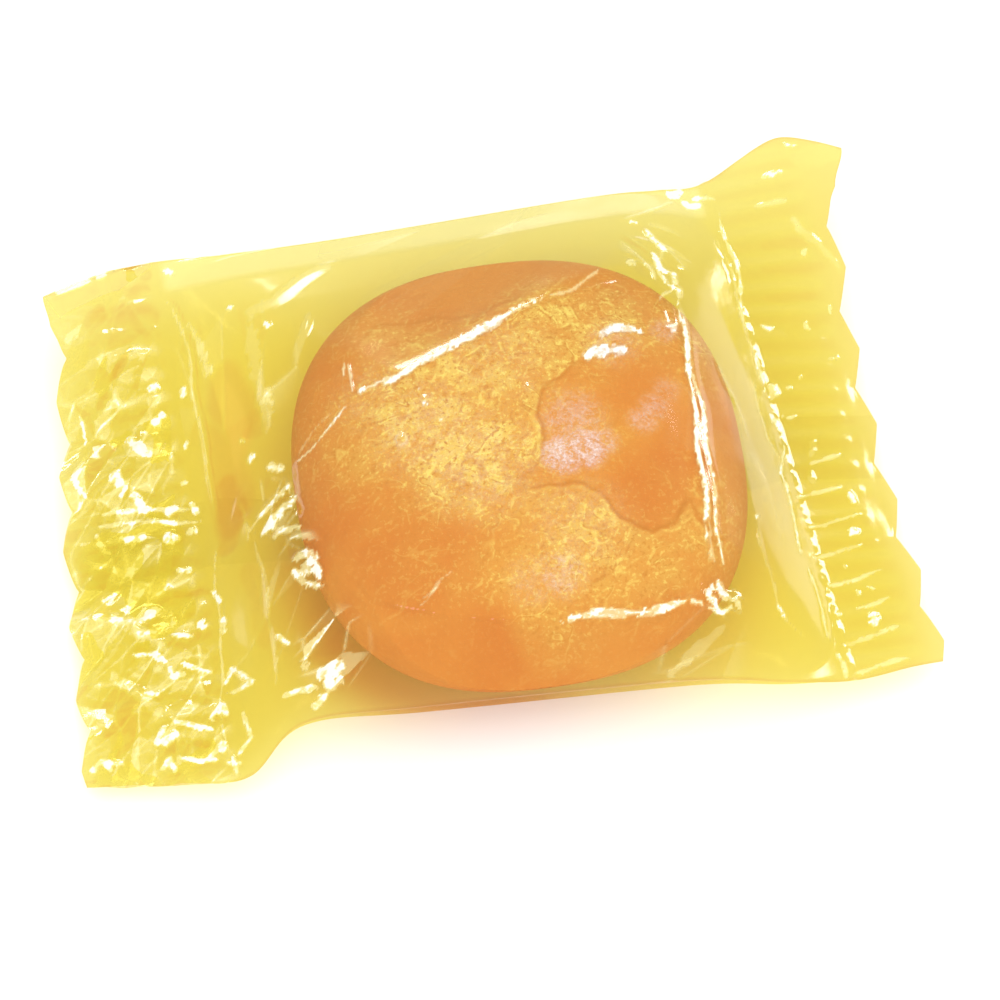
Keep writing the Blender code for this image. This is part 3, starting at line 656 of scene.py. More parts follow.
def ribs(station, y):
    """Press rows of short ribs into both ends: narrow crests with a flat cell between them."""
    left = (rising(station, LEFT_RIBS - 0.1, LEFT_RIBS + 0.1)
            * rising(-station, -LEFT_SEAL, 0.15 - LEFT_SEAL))
    right = (rising(station, RIGHT_SEAL + 0.02, RIGHT_SEAL + 0.12)
             * rising(-station, -0.08 - RIGHT_RIBS, 0.08 - RIGHT_RIBS))
    turn = y / RIB_PITCH
    away = np.abs(turn - np.round(turn)) * RIB_PITCH
    return (LEFT_RIB * left + RIGHT_RIB * right) * np.clip(1.0 - away / RIB_HALF_WIDTH, 0.0, 1.0)


def bead(station, y):
    """Squeeze out a thin uneven bead along both seal lines."""
    uneven = 0.55 + 0.45 * np.sin(4.3 * y) * np.sin(1.9 * y + 2.0)
    left = np.clip(1.0 - np.abs(station - LEFT_SEAL) / LEFT_BEAD, 0.0, 1.0)
    right = np.clip(1.0 - np.abs(station - RIGHT_SEAL) / RIGHT_BEAD, 0.0, 1.0)
    return BEAD_HEIGHT * uneven * (LEFT_BEAD_SHARE * left + right)


def rib_tone(station, y):
    """Paint the ribs with soft lighter and deeper bars, as the light and shade of their relief;
    they die out before the cut edges.
    """
    left = (rising(station, LEFT_RIBS - 0.4, LEFT_RIBS)
            * (1.0 - rising(station, LEFT_SEAL - 0.2, LEFT_SEAL)))
    right = (rising(station, RIGHT_SEAL, RIGHT_SEAL + 0.1)
             * (1.0 - rising(station, RIGHT_RIBS, RIGHT_RIBS + 0.4)))
    bars = np.sin(2.0 * np.pi * y / RIB_PITCH + 0.7 * np.sin(0.9 * y))
    return (LEFT_BARS * left + RIGHT_BARS * right) * bars


print("The ribs are", RIB_PITCH, "mm apart")

# %% How the ends hang, crumple and are cut
LEFT_SAG, RIGHT_SAG = 1.2, 1.6
LEFT_WAVE, LEFT_WAVES = 0.45, 3.5
CORNER_START = 0.80
TOOTH_DEPTH = 0.75
FIRST_TOOTH = -14.31
CUT_REACH = 0.9
CUT_EDGES = [
    # pitch of the teeth, pull of the back corner, bow of the edge, roundness of the teeth
    (4.31, 0.5, 0.3, 0.4),     # left
    (4.56, 1.0, -0.5, 0.12),   # right
]
BROAD_CRUMPLES = [
    # direction, length and height of each wave
    ((0.80, 0.60), 3.4, 0.08),
    ((-0.50, 0.87), 2.6, 0.06),
    ((0.10, 0.99), 5.2, 0.13),
]
FIRST_LEFT_NET = 20
LEFT_NETS = [
    # spacing of the net, height, direction of its longer facets, stretch, tone
    (1.70, 0.24, 1.1, 2.2, 0.38),
    (1.00, 0.13, 0.7, 2.6, 0.50),
    (0.50, 0.03, 0.3, 1.6, 0.25),
]
CALM_CORNER, CALM_SPAN = 0.5, (7.0, 11.0)


def hang(station, across):
    """Let the ends sag in their middle, and let the left one wave."""
    left = 1.0 - rising(station, LEFT_CUT, LEFT_SEAL + 0.5)
    right = rising(station, RIGHT_SEAL - 0.5, RIGHT_RIBS + 0.5)
    held = rising(across, -1.0, -0.3) * (1.0 - rising(across, 0.3, CORNER_START))
    wave = LEFT_WAVE * left * np.sin(np.pi * LEFT_WAVES * across)
    return (wave - LEFT_SAG * left - RIGHT_SAG * right) * held


def crumpled(x, y, station):
    """Crush the left end: broad waves with nets of flat facets over them."""
    height, tone = np.zeros_like(x), np.zeros_like(x)
    for (run_x, run_y), pitch, rise in BROAD_CRUMPLES:
        height = height + rise * np.sin(2.0 * np.pi * (run_x * x + run_y * y) / pitch)
    left = 1.0 - rising(station, LEFT_SEAL - 0.4, LEFT_SEAL)
    for number, (spacing, rise, turn, stretch, whiteness) in enumerate(LEFT_NETS):
        relief, facets, lines = crushed_net(x, y, spacing, FIRST_LEFT_NET + number, turn, stretch)
        height = height + rise * relief
        tone = tone + whiteness * facet_tone(facets, lines)
    calm = left * (1.0 - CALM_CORNER * rising(y, *CALM_SPAN))
    return height * calm, tone * calm


def toothed(x, y, station, across):
    """Bow both cut edges, cut them in a zigzag, and pull out their back corners."""
    left = 1.0 - rising(station, LEFT_CUT, LEFT_CUT + CUT_REACH)
    right = rising(station, RIGHT_CUT - CUT_REACH, RIGHT_CUT)
    corner = rising(across, CORNER_START, 1.0)
    for outward, (pitch, tip, bow, roundness) in zip((-left, right), CUT_EDGES):
        phase = (y - FIRST_TOOTH) / pitch
        slope = 2.0 * np.abs(phase - np.round(phase))
        notch = TOOTH_DEPTH * (slope + roundness * (1.0 - np.sqrt(1.0 - slope ** 2) - slope))
        x = x + outward * (tip * corner - notch * (1.0 - corner) + bow * (1.0 - across ** 2) ** 2)
    return x


# %% [markdown]
# ## The sheets of film
#
# Each sheet starts as a grid primitive, because film is a flat strip before it is wrapped, and
# its points are then carried to their places by the functions above. The two crimped ends are
# pieces of their own, since their relief is finer than that of the plain slopes. They meet the
# middle at the seal lines, where the real film has a sharp fold as well.
#
# Along its outline film is folded or cut, which shows as a thin deeper line. The strip by the back
# edge is painted paler, as the sheen it would show in the light from behind. Where the lower film
# comes away from the candy, at the front left, the candy's shade is painted onto it as a deeper,
# warmer tint, and the right end's flap is painted a little deeper, as shade, towards its cut edge.

# %% The film's edges and its crimped ends
LAYER_GAP = 0.05
EDGE_TONE, EDGE_LINE = -0.45, (0.03, 0.20)
FLAP_SHADE_TONE = -0.18
MM_PER_STATION = 4.0


def film_ground(station, across, side):
    """Place the film's edges and ends: where points lie in plan, and the height they start from."""
    rails = along_sections(station)
    front, back = rails[:, 0], rails[:, 1]
    place = (1.0 + across + (np.sin(across * np.pi / 2.0) - across) * tube_share(station)) / 2.0
    x, y, middle = (front + (back - front) * place[:, None]).T
    off_edge = rising(1.0 - np.abs(across), 0.0, 0.03)
    ground = middle + hang(station, across) + side * LAYER_GAP * off_edge
    return x, y, ground, front[:, 1], back[:, 1]


def outline_tone(from_edge):
    """Deepen the film in a thin line along its edges, where it is folded or cut."""
    return EDGE_TONE * (1.0 - rising(from_edge, *EDGE_LINE))


def end_film(station, across, side):
    """Shape the film of a crimped end."""
    x, y, ground, front, back = film_ground(station, across, side)
    relief, tone = creased(x, y, FOLDS)
    crumples, crumple_tone = crumpled(x, y, station)
    at_seal = np.minimum(np.abs(station - LEFT_SEAL), np.abs(station - RIGHT_SEAL))
    z = ground + ribs(station, y) + bead(station, y) + crumples + relief * rising(at_seal, 0.0, 0.1)
    from_cut = MM_PER_STATION * np.minimum(station - LEFT_CUT, RIGHT_CUT - station)
    tone = tone + crumple_tone + rib_tone(station, y)
    # painted shade: the right flap is deepened towards its cut edge
    tone = tone + FLAP_SHADE_TONE * rising(station, RIGHT_SEAL + 0.5, RIGHT_CUT)
    tone = tone + outline_tone(np.minimum(from_cut, np.minimum(y - front, back - y)))
    return toothed(x, y, station, across), y, z, tone


# %% The upper film between the seals
ROUNDING_PASSES = 3
LEAST_GAP = 0.03
BACK_SHEEN_TONE = 0.45
RING_PLACE, RING_HIGHLIGHT_TONE, RING_WIDTH = 0.8, 3.0, 0.12
FIRST_CRUSHED_NET = 40
PUCKER_LIFT = 0.3


def rounded(values, shape):
    """Soften a grid of heights a little, so that no ridge is sharper than a fold in film."""
    grid = values.reshape(shape)
    for _ in range(ROUNDING_PASSES):
        for axis in (0, 1):
            grid = np.swapaxes(grid, 0, axis)
            inner = (grid[:-2] + 2.0 * grid[1:-1] + grid[2:]) / 4.0
            grid = np.concatenate([grid[:1], inner, grid[-1:]])
            grid = np.swapaxes(grid, 0, axis)
    return grid.ravel()


def upper_middle(station, across, shape):
    """Shape the upper film between the seals."""
    x, y, ground, front, back = film_ground(station, across, 1.0)
    z = tent(x, y, front, back, ground)
    from_seal = np.minimum(rising(station, LEFT_SEAL, LEFT_SEAL + 0.2),
                           rising(-station, -RIGHT_SEAL, -RIGHT_SEAL + 0.2))
    from_edge = rising(1.0 - np.abs(across), 0.0, 0.06)
    z = z + (rounded(z, shape) - z) * from_seal * from_edge
    relief, tone = creased(x, y, FOLDS)
    for centre, radius, rise in BUBBLES:
        relief = relief + dome(x, y, centre, radius, rise)
        # painted highlight: a pale ring round each bubble
        from_ring = (np.hypot(x - centre[0], y - centre[1]) - RING_PLACE * radius) / RING_WIDTH
        tone = tone + RING_HIGHLIGHT_TONE * rise * np.exp(-from_ring ** 2)
    for number, (centre, radius, spacing, rise, turn, stretch, whiteness) in enumerate(CRUSHED):
        close = near(x, y, centre, radius)
        touched = close > 0.0
        net, facets, lines = crushed_net(x[touched], y[touched], spacing,
                                         FIRST_CRUSHED_NET + number, turn, stretch)
        relief[touched] += rise * (net + PUCKER_LIFT) * close[touched]
        tone[touched] += whiteness * facet_tone(facets, lines) * rising(close[touched], 0.1, 0.7)
    z = z + relief * from_seal * from_edge + bead(station, y)
    # painted sheen: the strip by the back edge is whitened as if it caught the light from behind
    band = (1.0 - rising(back - y, 0.7 * EDGE_BAND, 1.05 * EDGE_BAND)) * from_seal
    tone = tone + BACK_SHEEN_TONE * band + outline_tone(np.minimum(y - front, back - y))
    return x, y, clear_of_candy(x, y, z), tone


def clear_of_candy(x, y, z):
    """Keep the film a little above the candy, without a hard step where it would touch."""
    candy = CANDY_MIDDLE + CANDY_HALF * crown(candy_spread(x, y)) + LEAST_GAP
    inside = np.hypot(x - CANDY_CENTRE[0], y - CANDY_CENTRE[1]) < rim_towards(x, y)[0]
    gap = z - candy
    pressed = LEAST_GAP * np.exp(np.minimum(gap / LEAST_GAP - 1.0, 0.0))
    return np.where(inside, candy + np.where(gap < LEAST_GAP, pressed, gap), z)


# %% The lower film
CANDY_SHADE_TONE, CANDY_SHADE_WIDTH = -0.80, 0.15
CANDY_SHADE_FADE, FADES_BACK, FADES_RIGHT = 0.8, (-8.0, 2.0), (-1.0, 5.0)


def lower_sheet(station, across):
    """Shape the lower film, from one cut edge to the other, with painted shade round the candy's
    front left.
    """
    x, y, ground, front, back = film_ground(station, across, -1.0)
    sagging = ground * (1.0 - sag_below(x, y, front, back) * tube_share(station))
    z = sagging + ribs(station, y) + crumpled(x, y, station)[0]
    # painted shade: a deeper ring round the candy's outline, strongest at the front left
    off_outline = (candy_spread(x, y) - 1.0) / CANDY_SHADE_WIDTH
    darkening = ((1.0 - CANDY_SHADE_FADE * rising(y, *FADES_BACK))
              * (1.0 - CANDY_SHADE_FADE * rising(x, *FADES_RIGHT)))
    tone = CANDY_SHADE_TONE * np.exp(-off_outline ** 2) * darkening
    return toothed(x, y, station, across), y, np.maximum(z, LAYER_GAP), tone


# %% From grid to film
SPACING_STEPS = 400


def add_grid(name, columns, rows):
    """Add a grid, and give its points as shares of the way along and across."""
    bpy.ops.object.select_all(action="DESELECT")
    bpy.ops.mesh.primitive_grid_add(x_subdivisions=columns, y_subdivisions=rows, size=2.0)
    sheet = bpy.context.object
    sheet.name = sheet.data.name = name
    flat = np.empty(len(sheet.data.vertices) * 3)
    sheet.data.vertices.foreach_get("co", flat)
    flat = flat.reshape(-1, 3)
    return sheet, (flat[:, 0] + 1.0) / 2.0, flat[:, 1]


def stations_between(start, end, along):
    """Spread stations so that their sections are evenly spaced."""
    station = np.linspace(start, end, SPACING_STEPS)
    x = along_sections(station)[:, :, 0].mean(axis=1)
    return np.interp(x[0] + along * (x[-1] - x[0]), x, station)


def place_points(sheet, x, y, z, tone=None):
    """Move a sheet's points to their places, shade it smooth, and store its tone."""
    sheet.data.vertices.foreach_set("co", (np.stack([x, y, z], axis=1) * MM).ravel())
    if tone is not None:
        sheet.data.attributes.new("tone", "FLOAT", "POINT").data.foreach_set("value", tone)
    sheet.data.shade_smooth()
    sheet.data.update()
    print(sheet.name, "has", len(sheet.data.polygons), "faces")


# %% Make the sheets
left_end, along, across = add_grid("left_end", 110, 370)
place_points(left_end, *end_film(stations_between(LEFT_CUT, LEFT_SEAL, along), across, 1.0))
right_end, along, across = add_grid("right_end", 80, 370)
place_points(right_end, *end_film(stations_between(RIGHT_SEAL, RIGHT_CUT, along), across, 1.0))
MIDDLE_ROWS, MIDDLE_COLUMNS = 300, 310
upper_film, along, upper_across = add_grid("upper_film", MIDDLE_COLUMNS, MIDDLE_ROWS)
middle_station = stations_between(LEFT_SEAL, RIGHT_SEAL, along)
grid_shape = (MIDDLE_ROWS + 1, MIDDLE_COLUMNS + 1)
film_x, film_y, film_z, film_tone = upper_middle(middle_station, upper_across, grid_shape)
place_points(upper_film, film_x, film_y, film_z, film_tone)
lower_film, along, across = add_grid("lower_film", 220, 150)
place_points(lower_film, *lower_sheet(stations_between(LEFT_CUT, RIGHT_CUT, along), across))
lower_film.data.flip_normals()

# %% [markdown]
# ## The lap seam
#
# The strip was closed into a tube by lapping its two edges and welding them. The lap runs the
# whole length of the wrapper underneath, as a band that is a little deeper in colour. It shows
# through both ends. It is a narrower grid that lies just under the lower film.

# %% Add the seam
SEAM_CENTRE, SEAM_WIDTH = -1.91, 3.8
SEAM_DROP = 0.8 * LAYER_GAP
seam_lap, along, seam_across = add_grid("seam_lap", 220, 16)
seam_station = stations_between(LEFT_CUT, RIGHT_CUT, along)
seam_y = SEAM_CENTRE + seam_across * SEAM_WIDTH / 2.0
rails = along_sections(seam_station)
share = (seam_y - rails[:, 0, 1]) / (rails[:, 1, 1] - rails[:, 0, 1])
plain_across = 2.0 * share - 1.0
tube_across = np.arcsin(plain_across) * 2.0 / np.pi
in_tube = tube_share(seam_station)
x, y, z, _ = lower_sheet(seam_station, plain_across + (tube_across - plain_across) * in_tube)
place_points(seam_lap, x, y, z - SEAM_DROP)
seam_lap.data.flip_normals()

# %% [markdown]
# ## The folded edge of the left end
#
# The back edge of the left end is doubled over in a strip that gets narrower towards the seal.
# It shows as a paler band, painted as a sheen in its material, with one bright line along its fold.
# A narrow grid lies just over the end's film, and bends down to it at the fold.

# %% Add the folded strip
FOLD_WIDTH_ALONG, FOLD_WIDTHS = (0.0, 0.7, 1.0), (1.55, 1.40, 0.35)
FOLD_SLOPES = (0.0, 0.25, 1.0), (0.04, 0.13, 0.16)
FOLD_SLANT = 0.75
FOLD_RIPPLE = 0.02
folded_edge, along, across = add_grid("folded_edge", 90, 12)
fold_station = stations_between(LEFT_CUT + 0.04, LEFT_SEAL - 0.02, along)
inward = (1.0 - across) / 2.0
x, y, z, _ = end_film(fold_station, np.ones_like(along), 1.0)
width = np.interp(along, FOLD_WIDTH_ALONG, FOLD_WIDTHS)
place_points(folded_edge, x + FOLD_SLANT * inward * (1.0 - along) ** 4, y - inward * width,
             z + np.interp(inward, *FOLD_SLOPES) + FOLD_RIPPLE * np.sin(2.0 * x))

# %% [markdown]
# ## Where the film clings
#
# The film sticks to the top of the candy in wide patches with a scalloped edge, like damp spots
# under a sheet of glass. Inside them the sugar looks golden and grainy, and outside it looks
# plain orange. Each patch is an outline in plan, and every point of the candy stores how far
# inside a patch it lies, so that the material can draw a crisp edge however coarse the mesh is.
#
# The rest is given as soft round clouds: where the sugar is golden, where it is deeper, and where
# the patches have a crisp edge rather than a blurred one. The pinkish sparkle is the glint of a
# very fine wrinkling of the film, painted as a pale haze, so the film over the candy stores that
# one.

# %% Patches and the distance inside them
CLINGING = [
    [(-5.9, 5.3), (-4.5, 6.6), (-3.0, 6.7), (1.4, 6.1), (3.6, 6.8), (5.9, 7.2), (8.2, 7.5),
     (10.4, 7.1), (11.6, 5.6), (11.3, 3.3), (10.4, 2.1), (7.7, 2.0), (5.8, 2.2), (4.5, 1.2),
     (3.7, 0.3), (3.3, -0.7), (3.6, -2.1), (3.3, -2.9), (2.7, -4.0), (1.8, -4.6), (0.6, -5.5),
     (-1.1, -5.9), (-3.3, -6.0), (-5.1, -5.2), (-6.2, -4.1), (-6.8, -2.0), (-6.9, -0.2),
     (-6.8, 1.7), (-6.8, 3.7)],
    [(3.0, -5.1), (4.8, -5.2), (6.2, -5.9), (6.7, -6.9), (7.4, -7.9), (8.4, -8.5), (9.3, -8.2),
     (10.8, -6.6), (11.4, -7.7), (11.5, -9.8), (10.6, -11.3), (8.1, -11.9), (5.0, -11.6),
     (1.8, -11.7), (-1.3, -10.8), (-1.7, -9.6), (0.0, -9.1), (1.9, -9.1), (3.0, -8.7),
     (2.6, -8.1), (1.5, -5.3)],
]


def distance_inside(x, y, outline):
    """Measure how far inside an outline each point is, in millimetres; outside is negative."""
    route = np.array(outline + outline[:1])
    away, _ = along_route(x, y, route)
    inside = np.zeros(x.shape, dtype=bool)
    for (start_x, start_y), (end_x, end_y) in zip(route, route[1:]):
        crosses = (start_y > y) != (end_y > y)
        slope = (end_x - start_x) / (end_y - start_y if end_y != start_y else 1e-9)
        inside ^= crosses & (x < start_x + (y - start_y) * slope)
    return np.where(inside, away, -away)


def store_layers(piece, layers):
    """Store named values on every point of a piece, for its material to read."""
    for name, values in layers.items():
        layer = piece.data.attributes.new(name, "FLOAT", "POINT")
        layer.data.foreach_set("value", values)
        print(piece.name, "stores", name, "up to", round(float(values.max()), 2))


# %% Where the sugar is golden, deeper or crisp-edged
GOLD_CLOUDS = [
    # centre, radius, strength
    ((-2.2, 1.0), 7.0, 0.90), ((-0.1, -3.1), 6.5, 1.00), ((2.4, 2.2), 6.0, 0.80),
    ((5.4, 4.2), 5.5, 0.80), ((10.0, 5.1), 4.5, 0.75), ((12.4, 2.4), 3.5, 0.65),
    ((5.1, -8.1), 5.0, 0.75), ((2.9, -11.2), 4.0, 0.50), ((7.4, -10.1), 4.0, 0.55),
    ((11.1, -7.0), 4.5, 0.60), ((-4.2, 6.2), 4.5, 0.50), ((-7.0, 0.0), 5.5, 0.55),
    ((-3.4, -7.5), 5.5, 0.45), ((6.2, -2.4), 3.0, 0.60), ((0.2, -8.6), 4.0, 0.50),
]
DEEP_CLOUDS = [
    ((8.3, -6.7), 3.0, 0.60), ((10.2, -5.0), 2.4, 0.50), ((-4.6, -8.0), 5.5, 0.40),
    ((-8.2, -3.6), 4.0, 0.30), ((1.0, -13.2), 5.0, 0.35),
]
CRISP_CLOUDS = [
    ((3.2, -1.0), 3.6, 1.00), ((4.6, 1.6), 2.6, 0.80), ((4.2, -5.0), 3.4, 0.90),
    ((7.4, -7.0), 3.6, 1.00), ((9.6, -7.6), 3.0, 0.80), ((-3.4, 6.4), 4.0, 0.45),
    ((1.6, 6.4), 3.6, 0.45),
]
CLOUD_CORE = 0.3


def cloud_over(x, y, puffs):
    """Join soft round puffs into one cloud that is never over 1."""
    cloud = np.zeros_like(x)
    for (centre_x, centre_y), radius, strength in puffs:
        away = np.hypot(x - centre_x, y - centre_y) / radius
        cloud = np.maximum(cloud, strength * (1.0 - rising(away, CLOUD_CORE, 1.0)))
    return cloud


print(len(GOLD_CLOUDS), "golden puffs")

# %% Where the film's painted sparkle lies
SPARKLES = [
    # centre, radius, strength
    ((4.4, -3.4), 1.7, 0.65), ((5.6, -3.2), 1.7, 0.65), ((6.6, -2.9), 1.3, 0.30),
    ((5.2, -1.4), 2.6, 0.28), ((9.0, -1.8), 1.2, 0.28), ((9.8, -1.0), 1.2, 0.28),
    ((10.6, 0.0), 1.1, 0.18), ((8.2, 3.2), 2.2, 0.18), ((11.2, 3.9), 1.2, 0.25),
    ((3.2, -10.0), 2.0, 0.26), ((1.6, -10.2), 2.0, 0.16), ((-0.1, -3.1), 5.0, 0.16),
    ((-2.6, -0.6), 4.5, 0.16), ((4.6, -7.4), 4.0, 0.12), ((1.5, 3.0), 4.5, 0.10),
    ((-5.0, 2.0), 3.5, 0.10),
]
store_layers(upper_film, {"sparkle": cloud_over(film_x, film_y, SPARKLES)})

# %% [markdown]
# ## The candy
#
# The candy starts as a cube, cut into a fine net and blown up into a ball, which has no poles
# to pinch the surface. Each point of the ball then slides along its own direction onto the
# pebble's formula. Outside the rim the film would cut into the pebble in places, so the pebble
# stays a little under it there. Its low lumps are fine enough to be left to the material.

# %% Cube to ball
CANDY_CUTS = 84
bpy.ops.object.select_all(action="DESELECT")
bpy.ops.mesh.primitive_cube_add(size=2.0)
candy = bpy.context.object
candy.name = candy.data.name = "candy"
bpy.ops.object.mode_set(mode="EDIT")
bpy.ops.mesh.select_all(action="SELECT")
bpy.ops.mesh.subdivide(number_cuts=CANDY_CUTS)
bpy.ops.transform.tosphere(value=1.0)
bpy.ops.object.mode_set(mode="OBJECT")
print("The candy has", len(candy.data.polygons), "faces")

# %% Ball to pebble
SIDE_EDGES, SIDE_HEIGHTS = (-15.0, 14.45), (3.6, 4.1)


def signed_power(value, power):
    """Raise the size of a value to a power and keep its sign."""
    return np.sign(value) * np.abs(value) ** power


ball = np.empty(len(candy.data.vertices) * 3)
candy.data.vertices.foreach_get("co", ball)
ball = ball.reshape(-1, 3)
ball /= np.linalg.norm(ball, axis=1)[:, None]
ring = np.maximum(np.hypot(ball[:, 0], ball[:, 1]), 1e-9)
turn_x = signed_power(ball[:, 0] / ring, 2.0 / CANDY_SQUARENESS)
turn_y = signed_power(ball[:, 1] / ring, 2.0 / CANDY_SQUARENESS)
radius = ring ** (2.0 / CANDY_CROWN)
pebble = np.stack([
    CANDY_CENTRE[0] + CANDY_RADIUS[0] * radius * turn_x,
    CANDY_CENTRE[1] + CANDY_RADIUS[1] * radius * turn_y,
    CANDY_MIDDLE + CANDY_HALF * signed_power(ball[:, 2], 2.0 / CANDY_CROWN),
], axis=1)
rim_out = rim_towards(pebble[:, 0], pebble[:, 1])[0]
free = np.hypot(*(pebble[:, :2] - CANDY_CENTRE).T) > rim_out
edge_height = np.interp(pebble[:, 1], SIDE_EDGES, SIDE_HEIGHTS)
film_over = tent(pebble[:, 0], pebble[:, 1], SIDE_EDGES[0], SIDE_EDGES[1], edge_height)
pebble[:, 2] = np.where(free, np.minimum(pebble[:, 2], film_over - 2.0 * FILM_GAP), pebble[:, 2])
candy.data.vertices.foreach_set("co", (pebble * MM).ravel())
candy.data.shade_smooth()
candy.data.update()
candy_x, candy_y = pebble[:, 0], pebble[:, 1]
store_layers(candy, {
    "cling": np.max([distance_inside(candy_x, candy_y, outline) for outline in CLINGING], axis=0),
    "gold": cloud_over(candy_x, candy_y, GOLD_CLOUDS),
    "deep": cloud_over(candy_x, candy_y, DEEP_CLOUDS),
    "crisp": cloud_over(candy_x, candy_y, CRISP_CLOUDS)})


# %% [markdown]
# ## Writing shader maths as Python
#
# A material is a graph of nodes. Placing each Math node by hand buries the idea, so a small
# class wraps a socket and turns `+`, `-`, `*` and the rest into Math nodes. Any other node
# comes from one method, which sets the node's settings first and its sockets after that.

# %% A socket that does arithmetic
class Wire:
    """An output socket that can be used in plain arithmetic."""

    def __init__(self, palette, socket):
        self.palette = palette
        self.socket = socket

    def maths(self, operation, *values):
        settings = {"operation": operation}
        return self.palette.node("ShaderNodeMath", settings, dict(enumerate(values)))

    def __add__(self, other):
        return self.maths("ADD", self, other)

    def __radd__(self, other):
        return self.maths("ADD", other, self)

    def __sub__(self, other):
        return self.maths("SUBTRACT", self, other)

    def __rsub__(self, other):
        return self.maths("SUBTRACT", other, self)

    def __mul__(self, other):
        return self.maths("MULTIPLY", self, other)

    def __rmul__(self, other):
        return self.maths("MULTIPLY", other, self)

    def __truediv__(self, other):
        return self.maths("DIVIDE", self, other)

    def __pow__(self, other):
        return self.maths("POWER", self, other)

    def size(self):
        return self.maths("ABSOLUTE", self)

    def at_most(self, other):
        return self.maths("MINIMUM", self, other)

    def at_least(self, other):
        return self.maths("MAXIMUM", self, other)

    def eased(self, start, end):
        """Ease from 0 at start to 1 at end."""
        settings = {"interpolation_type": "SMOOTHSTEP", "clamp": True}
        sockets = {"Value": self, "From Min": start, "From Max": end}
        return self.palette.node("ShaderNodeMapRange", settings, sockets)


# %% The nodes of one material
OBJECT_PLACE = 3    # the Object output of a Texture Coordinate node
FACTOR, FIRST, SECOND = 0, 6, 7    # the sockets of a Mix node that mixes colours


class Palette:
    """The nodes of one material."""

    def __init__(self, name):
        self.material = bpy.data.materials.new(name)
        self.material.use_nodes = True
        self.tree = self.material.node_tree
        self.tree.nodes.clear()

    def node(self, kind, settings=None, sockets=None, output=0):
        """Add a node: its settings first, then the values or links of its sockets."""
        node = self.tree.nodes.new(kind)
        for name, value in (settings or {}).items():
            setattr(node, name, value)
        for name, value in (sockets or {}).items():
            if isinstance(value, Wire):
                self.tree.links.new(value.socket, node.inputs[name])
            else:
                node.inputs[name].default_value = value
        return Wire(self, node.outputs[output])

    def noise(self, place, scale, detail, roughness, distortion=0.0):
        """Add a noise that is read at a place."""
        return self.node("ShaderNodeTexNoise", {"noise_dimensions": "3D"},
                         {"Vector": place, "Scale": scale, "Detail": detail, "Roughness": roughness,
                          "Distortion": distortion})

    def stored(self, name):
        """Read a value that the mesh stores on its points."""
        return self.node("ShaderNodeAttribute", {"attribute_name": name}, output=2)

    def mix_colours(self, share, first, second):
        """Mix two colours, each a wire or a plain value."""
        sockets = {FACTOR: share, FIRST: first, SECOND: second}
        return self.node("ShaderNodeMix", {"data_type": "RGBA"}, sockets, output=2)

    def mix_shaders(self, share, first, second):
        """Mix two shaders."""
        return self.node("ShaderNodeMixShader", None, {0: share, 1: first, 2: second})

    def bump(self, strength, distance, height):
        """Turn a height in the material into a normal."""
        return self.node("ShaderNodeBump", None, {
            "Strength": strength, "Distance": distance, "Height": height})

    def place(self):
        """Give the place on the object, in metres."""
        return self.node("ShaderNodeTexCoord", output=OBJECT_PLACE)

    def finish(self, shader):
        """Join a shader to the material's output."""
        surface = self.tree.nodes.new("ShaderNodeOutputMaterial")
        self.tree.links.new(shader.socket, surface.inputs["Surface"])
        return self.material


# %% [markdown]
# ## Yellow film
#
# Clear tinted film lets most light through and colours it a little each time. A refracting glass
# shader would be wrong for a sheet with no thickness, and would turn the light under it into noise.
# A Transparent shader with a tint does what the film does: light going down through two layers and
# back up through two comes out the yellow of the photo. A second one, with a deeper tint, is mixed
# in where the film is doubled, and as painted shade where it lies in shadow.
#
# Over it lies a mirror-like gloss, which grows towards a grazing angle as it does on real film.
# Over that lies a milky layer, which is mostly painted highlight: white along the creases, yellower
# where they are weak, frayed by a fine noise, and a painted pinkish sparkle in the sparkling
# places. The lower film and the lap have less gloss, because another layer or the table lies
# against them.

# %% The film's material
FILM_PIECES = (upper_film, left_end, right_end, folded_edge, lower_film, seam_lap)
FILM_TINT = (0.927, 0.880, 0.480, 1.0)
DEEP_AND_SHADE_TINT = (0.86, 0.60, 0.32, 1.0)
LAP_TINT = (0.995, 0.985, 0.92, 1.0)
MILKY_YELLOW_AND_SHEEN = (1.0, 0.93, 0.45, 1.0)
PAINTED_HIGHLIGHT_WHITE = (1.0, 0.98, 0.88, 1.0)
PAINTED_PINK_SPARKLE = (0.93, 0.85, 0.83, 1.0)
HEAD_ON_GLOSS, GRAZING_GLOSS, GRAZING_POWER = 0.065, 0.82, 3.2
RIPPLES, FRAY, SPECKS = 420.0, 1900.0, 6000.0    # how many of each noise's cells to a metre


